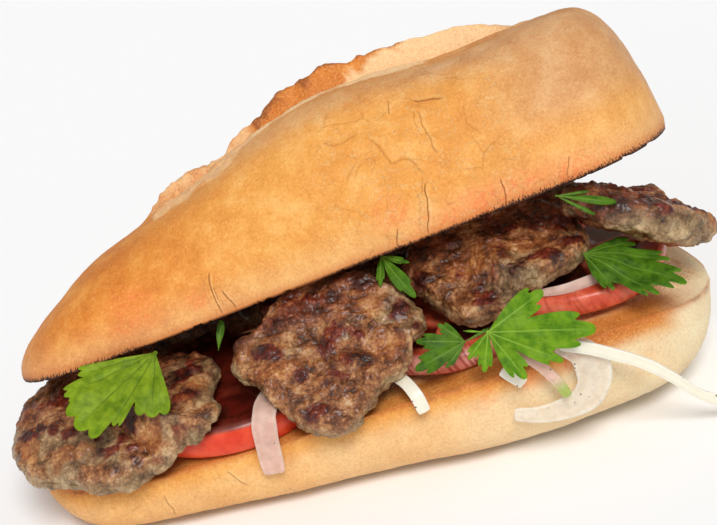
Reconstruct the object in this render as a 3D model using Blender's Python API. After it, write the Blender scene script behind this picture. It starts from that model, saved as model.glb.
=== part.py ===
"""Meatball sandwich: flat grilled meatballs in a split bread loaf, with tomato, onion and parsley.

Sizes below are in millimetres; the objects are made in metres, +Z up.
The origin is on the table under the middle of the loaf. +X runs along the loaf
and the open side of the sandwich faces -Y. One object is one separate piece.
"""

import math

import bpy
import numpy as np

MM = 0.001

# ---------------------------------------------------------------- driving sizes
LOAF_HALF_LENGTH = 121.0
BOTTOM_HALF_WIDTH = 44.0
TOP_HALF_WIDTH = 40.0
GAP = 0.4

# Cut face of the bottom half: its height at stations along the loaf.
BOTTOM_FACE_X = (-121.0, -70.0, -20.0, 20.0, 50.0, 80.0, 100.0, 121.0)
BOTTOM_FACE_Z = (18.5, 22.9, 27.0, 31.5, 34.5, 39.0, 37.5, 31.0)
BOTTOM_BULGE = 0.10
BOTTOM_CENTRE_X = 0.8

# Cut face of the top half: a plane through (0, TOP_FACE_Y, TOP_FACE_Z).
TOP_FACE_Y = -20.0
TOP_FACE_Z = 71.0
TOP_FACE_RISE = 0.168
TOP_FACE_DROP = 0.28
TOP_CENTRE_X = -1.0
TOP_CENTRE_Y = 18.0

# Crown of the top half: height above the cut face at stations along the loaf.
CROWN_X = (-121.0, -100.0, -78.0, -42.0, -8.0, 12.0, 30.0, 58.0, 90.0, 121.0)
CROWN_H = (18.0, 22.0, 29.5, 40.0, 49.5, 53.0, 53.0, 50.0, 49.5, 50.0)

# The baker's slash: it runs from front left to back right over the crown.
SLASH_START_X = -66.0
SLASH_END_X = 102.0
SLASH_START_SIDE = -0.05
SLASH_SHIFT = 0.25
SLASH_DEPTH = 3.5
EAR_X = (-66.0, -54.0, -42.0, -30.0, -18.0, 0.0, 20.0, 45.0, 66.0, 85.0, 102.0)
EAR_H = (1.0, 4.5, 5.0, 2.0, 4.5, 7.0, 7.5, 8.5, 8.5, 3.5, 1.0)

PATTY_THICKNESS = 13.0
# Points round the outline of each meatball and tomato slice.
DISC_POINTS = 26
# Over how many mm a meatball bends where it begins to rest on something.
LIFT_BLEND = 2.0
LEAF_THICKNESS = 0.7

# Tomato slices: centre, half length, half width, thickness, seed of the outline.
TOMATOES = {
    "tomato_1": ((-45.0, -12.5, 31.2), 36.0, 33.5, 11.5, 2),
    "tomato_2": ((31.0, -5.0, 37.3), 31.0, 31.5, 7.6, 4),
    "tomato_3": ((77.5, 0.0, 45.9), 32.0, 32.5, 8.4, 6),
}


# ---------------------------------------------------------------- small helpers
def smoothstep(value):
    """Rises smoothly from 0 to 1 as value goes from 0 to 1."""
    t = np.clip(value, 0.0, 1.0)
    return t * t * (3.0 - 2.0 * t)


def bump(value):
    """A bell that is 1 at 0 and falls to 0 at -1 and 1."""
    return smoothstep(1.0 - np.abs(value))


def spline(value, stations, heights):
    """Smooth curve through the stations: cubic pieces whose slopes are the chords' mean."""
    stations = np.asarray(stations, float)
    heights = np.asarray(heights, float)
    slopes = np.gradient(heights, stations)
    x = np.clip(value, stations[0], stations[-1])
    i = np.clip(np.searchsorted(stations, x) - 1, 0, len(stations) - 2)
    span = stations[i + 1] - stations[i]
    t = (x - stations[i]) / span
    return (
        heights[i] * (2 * t**3 - 3 * t**2 + 1)
        + slopes[i] * span * (t**3 - 2 * t**2 + t)
        + heights[i + 1] * (3 * t**2 - 2 * t**3)
        + slopes[i + 1] * span * (t**3 - t**2)
    )


def noise(points, cell, seed):
    """Smooth random field in -1..1: values on a cubic lattice, blended between the corners."""
    table = np.random.default_rng(seed).uniform(-1.0, 1.0, (32, 32, 32))
    q = np.asarray(points, float) / cell
    low = np.floor(q).astype(int)
    f = q - low
    f = f * f * (3.0 - 2.0 * f)
    total = 0.0
    for corner in range(8):
        step = np.array([corner & 1, corner >> 1 & 1, corner >> 2 & 1])
        weight = np.prod(np.where(step == 1, f, 1.0 - f), axis=-1)
        i, j, k = np.moveaxis((low + step) % 32, -1, 0)
        total = total + weight * table[i, j, k]
    return total


def turned(points, roll=0.0, pitch=0.0, yaw=0.0):
    """Points turned about X by roll, then Y by pitch, then Z by yaw, in degrees."""
    a, b, c = (math.radians(v) for v in (roll, pitch, yaw))
    turn_x = np.array([[1, 0, 0], [0, math.cos(a), -math.sin(a)], [0, math.sin(a), math.cos(a)]])
    turn_y = np.array([[math.cos(b), 0, math.sin(b)], [0, 1, 0], [-math.sin(b), 0, math.cos(b)]])
    turn_z = np.array([[math.cos(c), -math.sin(c), 0], [math.sin(c), math.cos(c), 0], [0, 0, 1]])
    return points @ (turn_z @ turn_y @ turn_x).T


def material(name, colour, roughness):
    """A Principled material of one plain colour, given as sRGB hex digits."""
    found = bpy.data.materials.get(name)
    if found:
        return found
    made = bpy.data.materials.new(name)
    made.use_nodes = True
    shader = made.node_tree.nodes["Principled BSDF"]
    srgb = [int(colour[i : i + 2], 16) / 255 for i in (0, 2, 4)]
    linear = [c / 12.92 if c <= 0.04045 else ((c + 0.055) / 1.055) ** 2.4 for c in srgb]
    shader.inputs["Base Color"].default_value = (*linear, 1.0)
    shader.inputs["Roughness"].default_value = roughness
    shader.inputs["Metallic"].default_value = 0.0
    made.diffuse_color = (*linear, 1.0)
    return made


def rounded_solid(name, rings, finish, first_pole, last_pole, thin=False):
    """A closed solid from rings of points (ring, place, xyz) in mm, with a pole at each end.

    A thin sheet is split into triangles here, so that its two faces have the same diagonals.
    """
    count, around = rings.shape[:2]
    points = np.concatenate([rings.reshape(-1, 3), [first_pole], [last_pole]]) * MM
    pole_a, pole_b = count * around, count * around + 1
    faces = []
    for j in range(around):
        k = (j + 1) % around
        faces.append((pole_a, k, j))
        for i in range(count - 1):
            a, b = i * around, (i + 1) * around
            if not thin:
                faces.append((a + j, a + k, b + k, b + j))
            elif i < count // 2:
                faces += [(a + j, a + k, b + k), (a + j, b + k, b + j)]
            else:
                faces += [(a + j, a + k, b + j), (a + k, b + k, b + j)]
        end = (count - 1) * around
        faces.append((pole_b, end + j, end + k))
    mesh = bpy.data.meshes.new(name)
    mesh.from_pydata(points.tolist(), [], faces)
    mesh.validate()
    mesh.shade_smooth()
    mesh.set_sharp_from_angle(angle=math.radians(50))
    made = bpy.data.objects.new(name, mesh)
    mesh.materials.append(finish)
    bpy.context.scene.collection.objects.link(made)
    return made


# ---------------------------------------------------------------- bread
def bottom_face(x):
    """Height of the bottom half's cut face at x."""
    return spline(x, BOTTOM_FACE_X, BOTTOM_FACE_Z)


def top_face(x, y):
    """Height of the top half's cut face at (x, y)."""
    return TOP_FACE_Z + TOP_FACE_RISE * x - TOP_FACE_DROP * (y - TOP_FACE_Y)


def end_rounding(x, left_start, left_power, right_start, right_power):
    """1 along the middle of the loaf, falling to 0 at its ends as a superellipse quarter."""
    left = np.clip((left_start - x) / (LOAF_HALF_LENGTH + left_start), 0.0, 1.0)
    right = np.clip((x - right_start) / (LOAF_HALF_LENGTH - right_start), 0.0, 1.0)
    return np.sqrt(np.clip(1.0 - left**left_power - right**right_power, 0.0, 1.0))


def loaf_stations(count):
    """Places along the loaf, closer together towards both ends."""
    t = np.linspace(-1.0, 1.0, count + 2)[1:-1]
    return LOAF_HALF_LENGTH * np.sin(t * math.pi / 2)


def bottom_half_width(x):
    """Half width of the bottom half's cut face at x, measured from the loaf's own middle."""
    return BOTTOM_HALF_WIDTH * end_rounding(x, -62.0, 3.0, 42.0, 2.5)


def bread_bottom():
    """Bottom half: each section is a flat cut face over a squarish half ellipse.

    Depth below the face = depth * sin(t) ** 0.7, half width = width * cos(t) ** 0.5
    * (1 + bulge * sin(2t)), and the underside is flattened where it meets the table.
    """
    x = loaf_stations(39)
    width = bottom_half_width(x)
    face = bottom_face(x)
    lift = 5.5 * smoothstep((x - 40.0) / 81.0) + 2.5 * smoothstep((-x - 90.0) / 31.0)
    depth = (face - lift + 0.8) * end_rounding(x, -84.0, 3.0, 92.0, 3.2)
    across = np.linspace(1.0, -1.0, 7)[1:-1]
    t = np.linspace(math.pi, 0.0, 19)
    cos_t, sin_t = np.cos(t), np.sin(t)
    crust_y = np.sign(cos_t) * np.abs(cos_t) ** 0.5 * (1.0 + BOTTOM_BULGE * np.abs(np.sin(2 * t)))
    side = np.concatenate([crust_y, across])
    rise = np.concatenate([-(np.abs(sin_t) ** 0.7), np.zeros(len(across))])
    rings = np.empty((len(x), len(side), 3))
    rings[..., 0] = BOTTOM_CENTRE_X + x[:, None]
    rings[..., 1] = width[:, None] * side[None, :]
    rings[..., 2] = face[:, None] + depth[:, None] * rise[None, :]
    crust = (rise < -0.02)[None, :]
    rings[..., 1] += np.where(crust, 0.9 * noise(rings, 34.0, 11), 0.0)
    rings[..., 2] = np.maximum(rings[..., 2], 0.0)
    ends = [[BOTTOM_CENTRE_X + s * (LOAF_HALF_LENGTH + 0.6), 0.0, 0.0] for s in (-1, 1)]
    for end, ring in zip(ends, (rings[0], rings[-1])):
        end[2] = ring[:, 2].mean()
    return rounded_solid("bread_bottom", rings, material("bread_crust", "DFA45E", 0.6), *ends)


def slash_line(x):
    """Where the slash lies across the crown, as a share of the half width, at x."""
    return SLASH_START_SIDE + SLASH_SHIFT * (x - SLASH_START_X) / (SLASH_END_X - SLASH_START_X)


def crown_relief(x, side):
    """Height that the slash adds to the crown: a dip behind the front lip, then the raised ear."""
    along = smoothstep((x - SLASH_START_X) / 18.0) * smoothstep((SLASH_END_X - x) / 30.0)
    ear = spline(x, EAR_X, EAR_H)
    s = side - slash_line(x)
    dip = -SLASH_DEPTH * bump((s - 0.10) / 0.14)
    lip = 1.0 * bump((s + 0.05) / 0.10)
    crest = ear * smoothstep((s - 0.10) / 0.14) * smoothstep((0.85 - s) / 0.55)
    return along * (dip + lip + crest)


def bread_top():
    """Top half: a flat cut face under a dome, laid back on the filling.

    Half width = width * cos(t) ** 0.8 and height = crown * sin(t) ** 0.8 over the face.
    """
    x = loaf_stations(43)
    width = TOP_HALF_WIDTH * end_rounding(x, -66.0, 3.0, 66.0, 3.0)
    crown = spline(x, CROWN_X, CROWN_H) * end_rounding(x, -76.0, 2.2, 92.0, 4.0)
    t = np.concatenate(
        [
            np.linspace(0.0, 1.1, 8),
            np.linspace(1.1, 2.1, 12)[1:],
            np.linspace(2.1, math.pi, 6)[1:],
        ]
    )
    cos_t, sin_t = -np.cos(t), np.sin(t)
    dome_y = np.sign(cos_t) * np.abs(cos_t) ** 0.8
    dome_z = np.abs(sin_t) ** 0.8
    across = np.linspace(1.0, -1.0, 7)[1:-1]
    side = np.concatenate([dome_y, across])
    rise = np.concatenate([dome_z, np.zeros(len(across))])
    rings = np.empty((len(x), len(side), 3))
    rings[..., 0] = x[:, None]
    rings[..., 1] = width[:, None] * side[None, :]
    rings[..., 2] = crown[:, None] * rise[None, :]
    relief = crown_relief(x[:, None], side[None, :]) + 1.1 * noise(rings, 30.0, 5)
    rings[..., 2] += np.where(rise > 0.3, relief * smoothstep((rise - 0.3) / 0.3), 0.0)
    rings = placed_on_filling(rings)
    ends = [
        placed_on_filling(np.array([s * (LOAF_HALF_LENGTH + 0.5), 0.0, 3.0])) for s in (-1, 1)
    ]
    return rounded_solid("bread_top", rings[:, ::-1], material("bread_crust", "DFA45E", 0.6), *ends)


def placed_on_filling(points):
    """From the top half's own frame (cut face at z = 0, length on x) to the sandwich's frame."""
    along = np.array([1.0, 0.0, TOP_FACE_RISE])
    along /= np.linalg.norm(along)
    up = np.array([-TOP_FACE_RISE, TOP_FACE_DROP, 1.0])
    up /= np.linalg.norm(up)
    across = np.cross(up, along)
    origin = np.array([TOP_CENTRE_X, TOP_CENTRE_Y, top_face(TOP_CENTRE_X, TOP_CENTRE_Y)])
    return origin + points @ np.array([along, across, up])


# ---------------------------------------------------------------- filling that others lie on
def over_disc(points, centre, radius_x, radius_y, top):
    """Height the surface above must keep: the disc's top, falling steeply past its edge."""
    dx = (points[:, 0] - centre[0]) / radius_x
    dy = (points[:, 1] - centre[1]) / radius_y
    past = (np.hypot(dx, dy) - 1.0) * (radius_x + radius_y) / 2 - 2.0
    return top - 2.5 * np.maximum(past, 0.0)


def over_bottom(points):
    """Height the filling must keep over the bottom half and round its rim."""
    past = np.abs(points[:, 1]) - bottom_half_width(points[:, 0] - BOTTOM_CENTRE_X) - 1.0
    return bottom_face(points[:, 0] - BOTTOM_CENTRE_X) + GAP - 2.5 * np.maximum(past, 0.0)


def tomato_top(name):
    """The floor made by one tomato slice, as a function of points."""
    centre, radius_x, radius_y, thickness, _ = TOMATOES[name]
    top = centre[2] + thickness / 2 + GAP
    return lambda points: over_disc(points, centre, radius_x, radius_y, top)


# ---------------------------------------------------------------- meat
def disc_profile(half_thickness, corner):
    """(share of radius, height) down a round-edged disc: flat faces joined by a half circle."""
    flat = [(r, half_thickness * (1.0 - 0.16 * r * r)) for r in (0.33, 0.65)]
    edge = [
        (1.0 - corner + corner * math.cos(a), half_thickness * 0.9 * math.sin(a))
        for a in np.linspace(1.35, -1.35, 6)
    ]
    back = [(r, -h) for r, h in flat[::-1]]
    return np.array(flat + edge + back)


def disc(radius_x, radius_y, thickness, corner=0.14, outline=(1.0,), wobble=0.03, seed=1):
    """Rings of a disc in its own frame; outline holds its reach at even steps round from +X."""
    profile = disc_profile(thickness / 2, corner)
    angle = np.linspace(0.0, 2 * math.pi, DISC_POINTS, endpoint=False)
    turns = np.arange(-1, len(outline) + 2) * 2 * math.pi / len(outline)
    shape = spline(angle, turns, np.take(outline, np.arange(-1, len(outline) + 2), mode="wrap"))
    edge = np.stack([np.cos(angle), np.sin(angle), np.full(DISC_POINTS, 0.5)], -1)
    reach = shape + wobble * (noise(edge, 0.55, seed) + 0.5 * noise(edge, 0.3, seed + 1))
    rings = np.empty((len(profile), DISC_POINTS, 3))
    rings[..., 0] = radius_x * profile[:, :1] * (reach * np.cos(angle))[None, :]
    rings[..., 1] = radius_y * profile[:, :1] * (reach * np.sin(angle))[None, :]
    rings[..., 2] = profile[:, 1:]
    return rings[:, ::-1]


def patty(name, centre, radius_x, radius_y, thickness=PATTY_THICKNESS, outline=(1.0,), turn=(0, 0, 0),
          sag=(0.0, 0.0), thinner=0.0, floors=(), seed=1):
    """A flattened meatball: an uneven disc with crags that sags at its rim and lies on its floors.

    The sag is sag * (distance past the middle / radius) ** 2 along the disc's own normal, for
    the front and the left side; then each column is lifted so its underside clears the floors.
    thinner is the share of its thickness that it loses towards its right side.
    """
    rings = disc(radius_x, radius_y, thickness, outline=outline, seed=seed)
    poles = np.array([[0.0, 0.0, thickness / 2], [0.0, 0.0, -thickness / 2]])
    local = np.concatenate([rings.reshape(-1, 3), poles])
    half = thickness / 2 * (1.0 - thinner * smoothstep(local[:, 0] / radius_x + 0.6))
    local[:, 2] *= half / (thickness / 2)
    crag = 1.1 * noise(local, 11.0, seed + 20) + 0.7 * noise(local, 5.5, seed + 40)
    outward = local * [0.35, 0.35, 0.0] + [0.0, 0.0, 1.0] * np.sign(local[:, 2:]) * 6.0
    outward /= np.linalg.norm(outward, axis=1)[:, None] + 1e-9
    points = local + outward * crag[:, None]
    drop = sag[0] * np.clip(-points[:, 1] / radius_y, 0.0, None) ** 2
    drop = drop + sag[1] * np.clip(-points[:, 0] / radius_x, 0.0, None) ** 2
    middle = points * [1.0, 1.0, 0.0]
    points[:, 2] -= drop
    middle[:, 2] -= drop
    points = turned(points, *turn) + centre
    middle = turned(middle, *turn) + centre
    lean = math.cos(math.radians(turn[0])) * math.cos(math.radians(turn[1]))
    for floor in floors:
        under = middle[:, 2] - half / lean
        lift = LIFT_BLEND * np.logaddexp(0.0, (floor(points) + 0.4 - under) / LIFT_BLEND)
        points[:, 2] += lift
        middle[:, 2] += lift
    for floor in floors:
        points[:, 2] = np.maximum(points[:, 2], floor(points))
    points[:, 2] = np.minimum(points[:, 2], top_face(points[:, 0], points[:, 1]) - GAP)
    rings = points[:-2].reshape(rings.shape)
    return rounded_solid(name, rings, material("grilled_meat", "6E5540", 0.5), *points[-2:])


def patties():
    """The four meatballs that lean out at the front, and the row behind that they rest on."""
    on_1 = tomato_top("tomato_1")
    on_2 = tomato_top("tomato_2")
    on_3 = tomato_top("tomato_3")
    patty("patty_1", (-82.5, -15.5, 37.0), 38.0, 35.0, thickness=14.5, turn=(5.0, -7.0, 0.0),
          outline=(1.0, 0.95, 0.9, 0.95, 1.05, 1.08, 1.08, 1.02, 1.02, 1.08, 1.3, 1.2),
          sag=(6.0, 2.0), thinner=0.35, floors=(over_bottom, on_1), seed=3)
    patty("patty_2", (-7.5, -28.5, 50.0), 34.5, 34.5, turn=(35.0, 0.0, 0.0),
          outline=(0.97, 0.86, 0.82, 0.8, 0.84, 0.95, 1.0, 0.86, 0.8, 0.9, 0.78, 0.93),
          sag=(2.0, 0.0), floors=(over_bottom, on_1, on_2), seed=5)
    patty("patty_3", (53.5, -8.0, 57.6), 31.0, 31.0, turn=(27.0, 0.0, 0.0),
          outline=(0.98, 0.85, 0.75, 0.8, 0.95, 1.0, 1.0, 0.9, 0.98, 0.9, 0.86, 0.97),
          sag=(1.0, 0.0), floors=(over_bottom, on_2, on_3), seed=7)
    patty("patty_4", (101.0, -4.0, 61.6), 30.0, 23.0, turn=(-19.0, 28.0, 0.0),
          outline=(1.0, 0.95, 0.95, 0.95, 0.9, 0.85, 0.85, 0.9, 1.0, 1.0, 1.0, 1.0),
          floors=(on_3,), seed=9)
    patty("patty_back_left", (-62.0, 34.0, 37.0), 28.0, 18.0, thickness=11.0,
          turn=(-24.0, -6.0, 0.0), floors=(over_bottom, on_1), seed=11)
    patty("patty_back_middle", (-3.0, 20.0, 44.5), 31.0, 24.0, thickness=11.0,
          floors=(on_1, on_2), seed=13)
    patty("patty_back_right", (55.0, 31.0, 55.0), 29.0, 18.5, thickness=9.5,
          floors=(on_3,), seed=15)


# ---------------------------------------------------------------- tomato
def tomato(name):
    """A tomato slice: a thick disc with a rounded skin edge, lying along the bottom half."""
    centre, radius_x, radius_y, thickness, seed = TOMATOES[name]
    rings = disc(radius_x, radius_y, thickness, corner=0.07, wobble=0.02, seed=seed)
    points = np.concatenate([rings.reshape(-1, 3), [[0, 0, thickness / 2], [0, 0, -thickness / 2]]])
    points = points + centre
    if name == "tomato_3":
        points[:, 2] = np.maximum(points[:, 2], tomato_top("tomato_2")(points))
    points[:, 2] = np.maximum(points[:, 2], over_bottom(points))
    rings = points[:-2].reshape(rings.shape)
    return rounded_solid(name, rings, material("tomato_flesh", "D2402A", 0.25), *points[-2:])


# ---------------------------------------------------------------- onion
def smooth_path(path, count):
    """Points along a smooth line through the given ones, at even steps of their index."""
    path = np.array(path, float)
    knots = np.arange(len(path), dtype=float)
    t = np.linspace(0.0, knots[-1], count)
    return np.stack([spline(t, knots, path[:, axis]) for axis in range(3)], -1)


def strip(name, path, widths, thickness, facing, count=11, taper=0.6):
    """An onion shred: a flat band along the path, its broad side turned to the facing direction.

    Each section is a rounded rectangle of 8 points. The width runs through the widths given,
    and the ends narrow to taper times it.
    """
    line = smooth_path(path, count)
    along = np.gradient(line, axis=0)
    along /= np.linalg.norm(along, axis=1)[:, None]
    side = np.cross(along, np.array(facing, float))
    side /= np.linalg.norm(side, axis=1)[:, None]
    normal = np.cross(side, along)
    t = np.linspace(-1.0, 1.0, count)
    width = spline(t, np.linspace(-1.0, 1.0, len(widths)), widths)
    half = width / 2 * (taper + (1.0 - taper) * np.sqrt(1.0 - t**4))
    corners = np.array(
        [(-1, 0), (-0.8, 1), (0, 1.15), (0.8, 1), (1, 0), (0.8, -1), (0, -1), (-0.8, -1)]
    )
    rings = (
        line[:, None, :]
        + side[:, None, :] * (half[:, None] * corners[None, :, 0])[..., None]
        + normal[:, None, :] * (thickness / 2 * corners[None, :, 1])[..., None]
    )
    ends = (line[0] - along[0] * 0.3, line[-1] + along[-1] * 0.3)
    return rounded_solid(name, rings, material("onion", "EBDDD2", 0.3), *ends)


def onions():
    """Shreds that hang over the rim, an arc on the right tomato, and the long strand at the right."""
    front, over_front, over_back = (0.0, -1.0, 0.15), (0.0, -0.6, 0.8), (0.0, 0.6, 0.8)
    strip("onion_1", [(-33.3, -41.5, 39.0), (-33.2, -46.0, 38.8), (-33.1, -48.2, 34.5),
                      (-33.0, -48.6, 26.3), (-32.7, -48.8, 18.3)], (6.6, 7.8, 7.6), 1.2, over_front)
    strip("onion_2", [(15.5, -37.0, 34.2), (17.4, -42.5, 35.6), (19.2, -47.3, 34.0),
                      (20.4, -48.6, 29.3)], (4.2, 4.2, 4.6), 1.2, over_front, count=9)
    strip("onion_3", [(65.2, -26.2, 51.1), (71.5, -27.0, 51.1), (77.3, -26.2, 51.1),
                      (85.3, -23.4, 51.1), (92.6, -18.2, 51.1)], (2.6, 2.6), 1.3, (0.3, -1.0, 0.6))
    strip("onion_4", [(66.6, -45.5, 42.6), (73.7, -47.6, 38.8), (76.6, -48.0, 33.0),
                      (75.8, -48.4, 26.6), (72.0, -48.8, 22.0), (65.6, -49.0, 20.0),
                      (57.1, -49.2, 19.6), (48.6, -49.2, 21.6)],
          (7.0, 10.5, 11.5, 10.5, 8.0, 6.0, 5.0), 1.0, front, count=15)
    strip("onion_5", [(48.4, -46.8, 38.0), (50.7, -47.6, 35.3), (53.8, -48.2, 31.8)], (5.0, 4.6),
          1.1, front, count=7)
    strip("onion_6", [(68.0, -49.0, 43.6), (74.2, -49.6, 41.4), (80.6, -50.0, 38.4),
                      (92.6, -49.5, 30.8), (101.1, -48.5, 22.5), (107.3, -47.0, 14.8),
                      (114.5, -45.5, 8.6), (121.5, -44.0, 4.2)], (4.6, 3.8, 3.6), 1.3, front, count=17)
    strip("onion_7", [(52.0, -46.5, 44.0), (56.5, -49.4, 41.6), (60.7, -50.2, 37.4),
                      (64.3, -50.6, 31.5), (67.0, -50.8, 25.4)], (3.6, 3.4), 1.0, front)
    strip("onion_8", [(-26.0, 41.0, 30.6), (-26.5, 46.0, 30.4), (-27.0, 48.6, 26.0),
                      (-27.3, 49.0, 17.0)], (5.6, 6.2), 1.2, over_back, count=9)
    strip("onion_9", [(30.0, 27.5, 42.6), (31.0, 38.0, 42.0), (32.0, 46.5, 37.5),
                      (32.6, 48.6, 28.0)], (4.2, 4.8), 1.2, over_back, count=9)


# ---------------------------------------------------------------- parsley
def leaf_reach(angle, lobes):
    """Outline of a lobed leaf seen from its node: the longest lobe in each direction, notched."""
    reach = np.full(angle.shape, 0.16)
    for centre, length, half_width in lobes:
        off = (np.degrees(angle) - centre + 180.0) % 360.0 - 180.0
        lobe = length * np.clip(1.0 - np.abs(off / half_width) ** 2.2, 0.0, 1.0) ** 0.5
        reach = np.maximum(reach, lobe)
    return reach * (1.0 - 0.10 * (np.arange(len(angle)) % 2))


def leaf(name, node, tip, facing, lobes, curl=2.0, wave=1.0, around=32, seed=1):
    """A parsley leaf: a thin wavy solid whose lobes fan out from its node.

    The tip gives the direction and length of a lobe at 0 degrees with length 1. The sheet
    bends away from its facing side by curl * (r / length) ** 2, with waves of +-wave.
    """
    node, tip, facing = (np.array(v, float) for v in (node, tip, facing))
    length = np.linalg.norm(tip - node)
    along = (tip - node) / length
    up = facing - along * (facing @ along)
    up /= np.linalg.norm(up)
    side = np.cross(up, along)
    angle = np.linspace(0.0, 2 * math.pi, around, endpoint=False)
    reach = leaf_reach(angle, lobes)
    rows = ((0.35, 0.5), (0.72, 0.5), (1.0, 0.12), (0.985, -0.12), (0.72, -0.5), (0.35, -0.5))
    rings = np.empty((len(rows), around, 3))
    for ring, (share, height) in zip(rings, rows):
        u = length * share * reach * np.cos(angle)
        v = length * share * reach * np.sin(angle)
        flat = np.stack([u, v, np.zeros(around)], -1)
        bend = -curl * (u * u + v * v) / length**2 + wave * noise(flat, 9.0, seed)
        w = bend + height * LEAF_THICKNESS
        ring[:] = node + u[:, None] * along + v[:, None] * side + w[:, None] * up
    middle = wave * float(noise(np.zeros((1, 3)), 9.0, seed)[0])
    poles = [node + up * (middle + LEAF_THICKNESS * h) for h in (0.5, -0.5)]
    finish = material("parsley", "5E9B34", 0.45)
    return rounded_solid(name, rings[:, ::-1], finish, *poles, thin=True)


def parsley():
    """Leaves tucked under the top half, between the meatballs and over the rim."""
    to_front = (-0.1, -0.9, 0.45)
    leaf("parsley_1", (-63.3, -27.5, 60.0), (-91.5, -48.0, 51.2), (0.05, -0.6, 0.8),
         ((0, 1.0, 17), (-20, 0.9, 12), (20, 0.8, 13), (41, 0.64, 14), (64, 0.54, 16)), seed=31)
    leaf("parsley_2", (22.5, -22.0, 70.0), (23.5, -26.5, 58.0), to_front,
         ((0, 1.0, 22), (38, 0.7, 18), (-60, 0.6, 18), (170, 0.3, 30)), curl=1.0, around=24, seed=33)
    leaf("parsley_3", (35.7, -41.0, 45.2), (21.5, -45.5, 42.4), to_front,
         ((0, 1.0, 24), (34, 0.7, 18), (-34, 0.6, 18), (180, 0.4, 20)), curl=1.0, around=24, seed=35)
    leaf("parsley_4", (46.4, -48.0, 53.0), (80.0, -52.5, 48.5), to_front,
         ((0, 1.0, 19), (35, 0.64, 21), (-23, 0.75, 13), (-53, 0.56, 20), (-98, 0.38, 20),
          (-128, 0.32, 18)), curl=0.0, around=40, seed=37)
    leaf("parsley_5", (89.0, -19.0, 56.4), (113.5, -36.5, 48.4), (0.0, -0.35, 0.94),
         ((0, 1.0, 16), (-16, 0.85, 13), (16, 0.8, 14), (-36, 0.5, 18), (34, 0.5, 18)), seed=39)
    leaf("parsley_6", (87.0, -29.5, 75.5), (76.5, -30.0, 79.5), to_front,
         ((0, 1.0, 18), (160, 0.8, 18), (60, 0.4, 20)), curl=1.0, around=20, seed=41)
    leaf("parsley_7", (-42.0, -22.0, 61.0), (-44.5, -24.0, 51.5), to_front,
         ((0, 1.0, 18), (30, 0.6, 18)), curl=1.0, around=20, seed=43)
    leaf("parsley_8", (14.0, 46.5, 46.0), (-6.0, 51.0, 37.0), (0.0, 0.9, 0.45),
         ((0, 1.0, 16), (26, 0.8, 14), (-26, 0.8, 14), (55, 0.55, 16), (-55, 0.55, 16)), seed=45)


# ---------------------------------------------------------------- build
for old in list(bpy.data.objects):
    bpy.data.objects.remove(old)
bread_bottom()
bread_top()
patties()
for slice_name in TOMATOES:
    tomato(slice_name)
onions()
parsley()
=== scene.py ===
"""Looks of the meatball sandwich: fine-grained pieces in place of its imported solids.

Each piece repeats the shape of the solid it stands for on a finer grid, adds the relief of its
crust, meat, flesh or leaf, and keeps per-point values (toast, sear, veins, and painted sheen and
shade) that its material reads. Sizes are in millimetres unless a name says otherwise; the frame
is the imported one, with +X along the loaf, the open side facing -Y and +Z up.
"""

import math
from functools import partial
from types import SimpleNamespace

import bpy
import numpy as np
from mathutils import Matrix, Vector


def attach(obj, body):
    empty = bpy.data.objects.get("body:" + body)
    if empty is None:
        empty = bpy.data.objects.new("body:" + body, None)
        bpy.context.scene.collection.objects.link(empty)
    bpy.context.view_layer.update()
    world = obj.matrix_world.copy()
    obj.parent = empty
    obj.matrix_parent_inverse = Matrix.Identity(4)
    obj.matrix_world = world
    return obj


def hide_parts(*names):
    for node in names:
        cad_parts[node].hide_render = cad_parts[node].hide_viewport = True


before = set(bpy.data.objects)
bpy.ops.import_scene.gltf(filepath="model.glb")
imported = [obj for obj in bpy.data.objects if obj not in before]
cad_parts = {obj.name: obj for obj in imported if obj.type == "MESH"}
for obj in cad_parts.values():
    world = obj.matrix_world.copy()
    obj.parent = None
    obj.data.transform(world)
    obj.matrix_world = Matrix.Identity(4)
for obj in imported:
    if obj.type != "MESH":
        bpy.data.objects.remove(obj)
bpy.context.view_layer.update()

MM = 0.001

# ---------------------------------------------------------------- driving sizes of the solids
LOAF_HALF_LENGTH = 121.0
BOTTOM_HALF_WIDTH = 44.0
TOP_HALF_WIDTH = 40.0
GAP = 0.4

# Cut face of the bottom half: its height at stations along the loaf.
BOTTOM_FACE_X = (-121.0, -70.0, -20.0, 20.0, 50.0, 80.0, 100.0, 121.0)
BOTTOM_FACE_Z = (18.5, 22.9, 27.0, 31.5, 34.5, 39.0, 37.5, 31.0)
BOTTOM_BULGE = 0.10
BOTTOM_CENTRE_X = 0.8

# Cut face of the top half: a plane through (0, TOP_FACE_Y, TOP_FACE_Z).
TOP_FACE_Y = -20.0
TOP_FACE_Z = 71.0
TOP_FACE_RISE = 0.168
TOP_FACE_DROP = 0.28
TOP_CENTRE_X = -1.0
TOP_CENTRE_Y = 18.0

# Crown of the top half: height above the cut face at stations along the loaf.
CROWN_X = (-121.0, -100.0, -78.0, -42.0, -8.0, 12.0, 30.0, 58.0, 90.0, 121.0)
CROWN_H = (18.0, 22.0, 29.5, 40.0, 49.5, 53.0, 53.0, 50.0, 49.5, 50.0)

# The baker's slash: it runs from front left to back right over the crown.
SLASH_START_X = -66.0
SLASH_END_X = 102.0
SLASH_START_SIDE = -0.05
SLASH_SHIFT = 0.25
SLASH_DEPTH = 3.5
EAR_X = (-66.0, -54.0, -42.0, -30.0, -18.0, 0.0, 20.0, 45.0, 66.0, 85.0, 102.0)
EAR_H = (1.0, 4.5, 5.0, 2.0, 4.5, 7.0, 7.5, 8.5, 8.5, 3.5, 1.0)

PATTY_THICKNESS = 13.0
LIFT_BLEND = 2.0
LEAF_THICKNESS = 0.45

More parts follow.
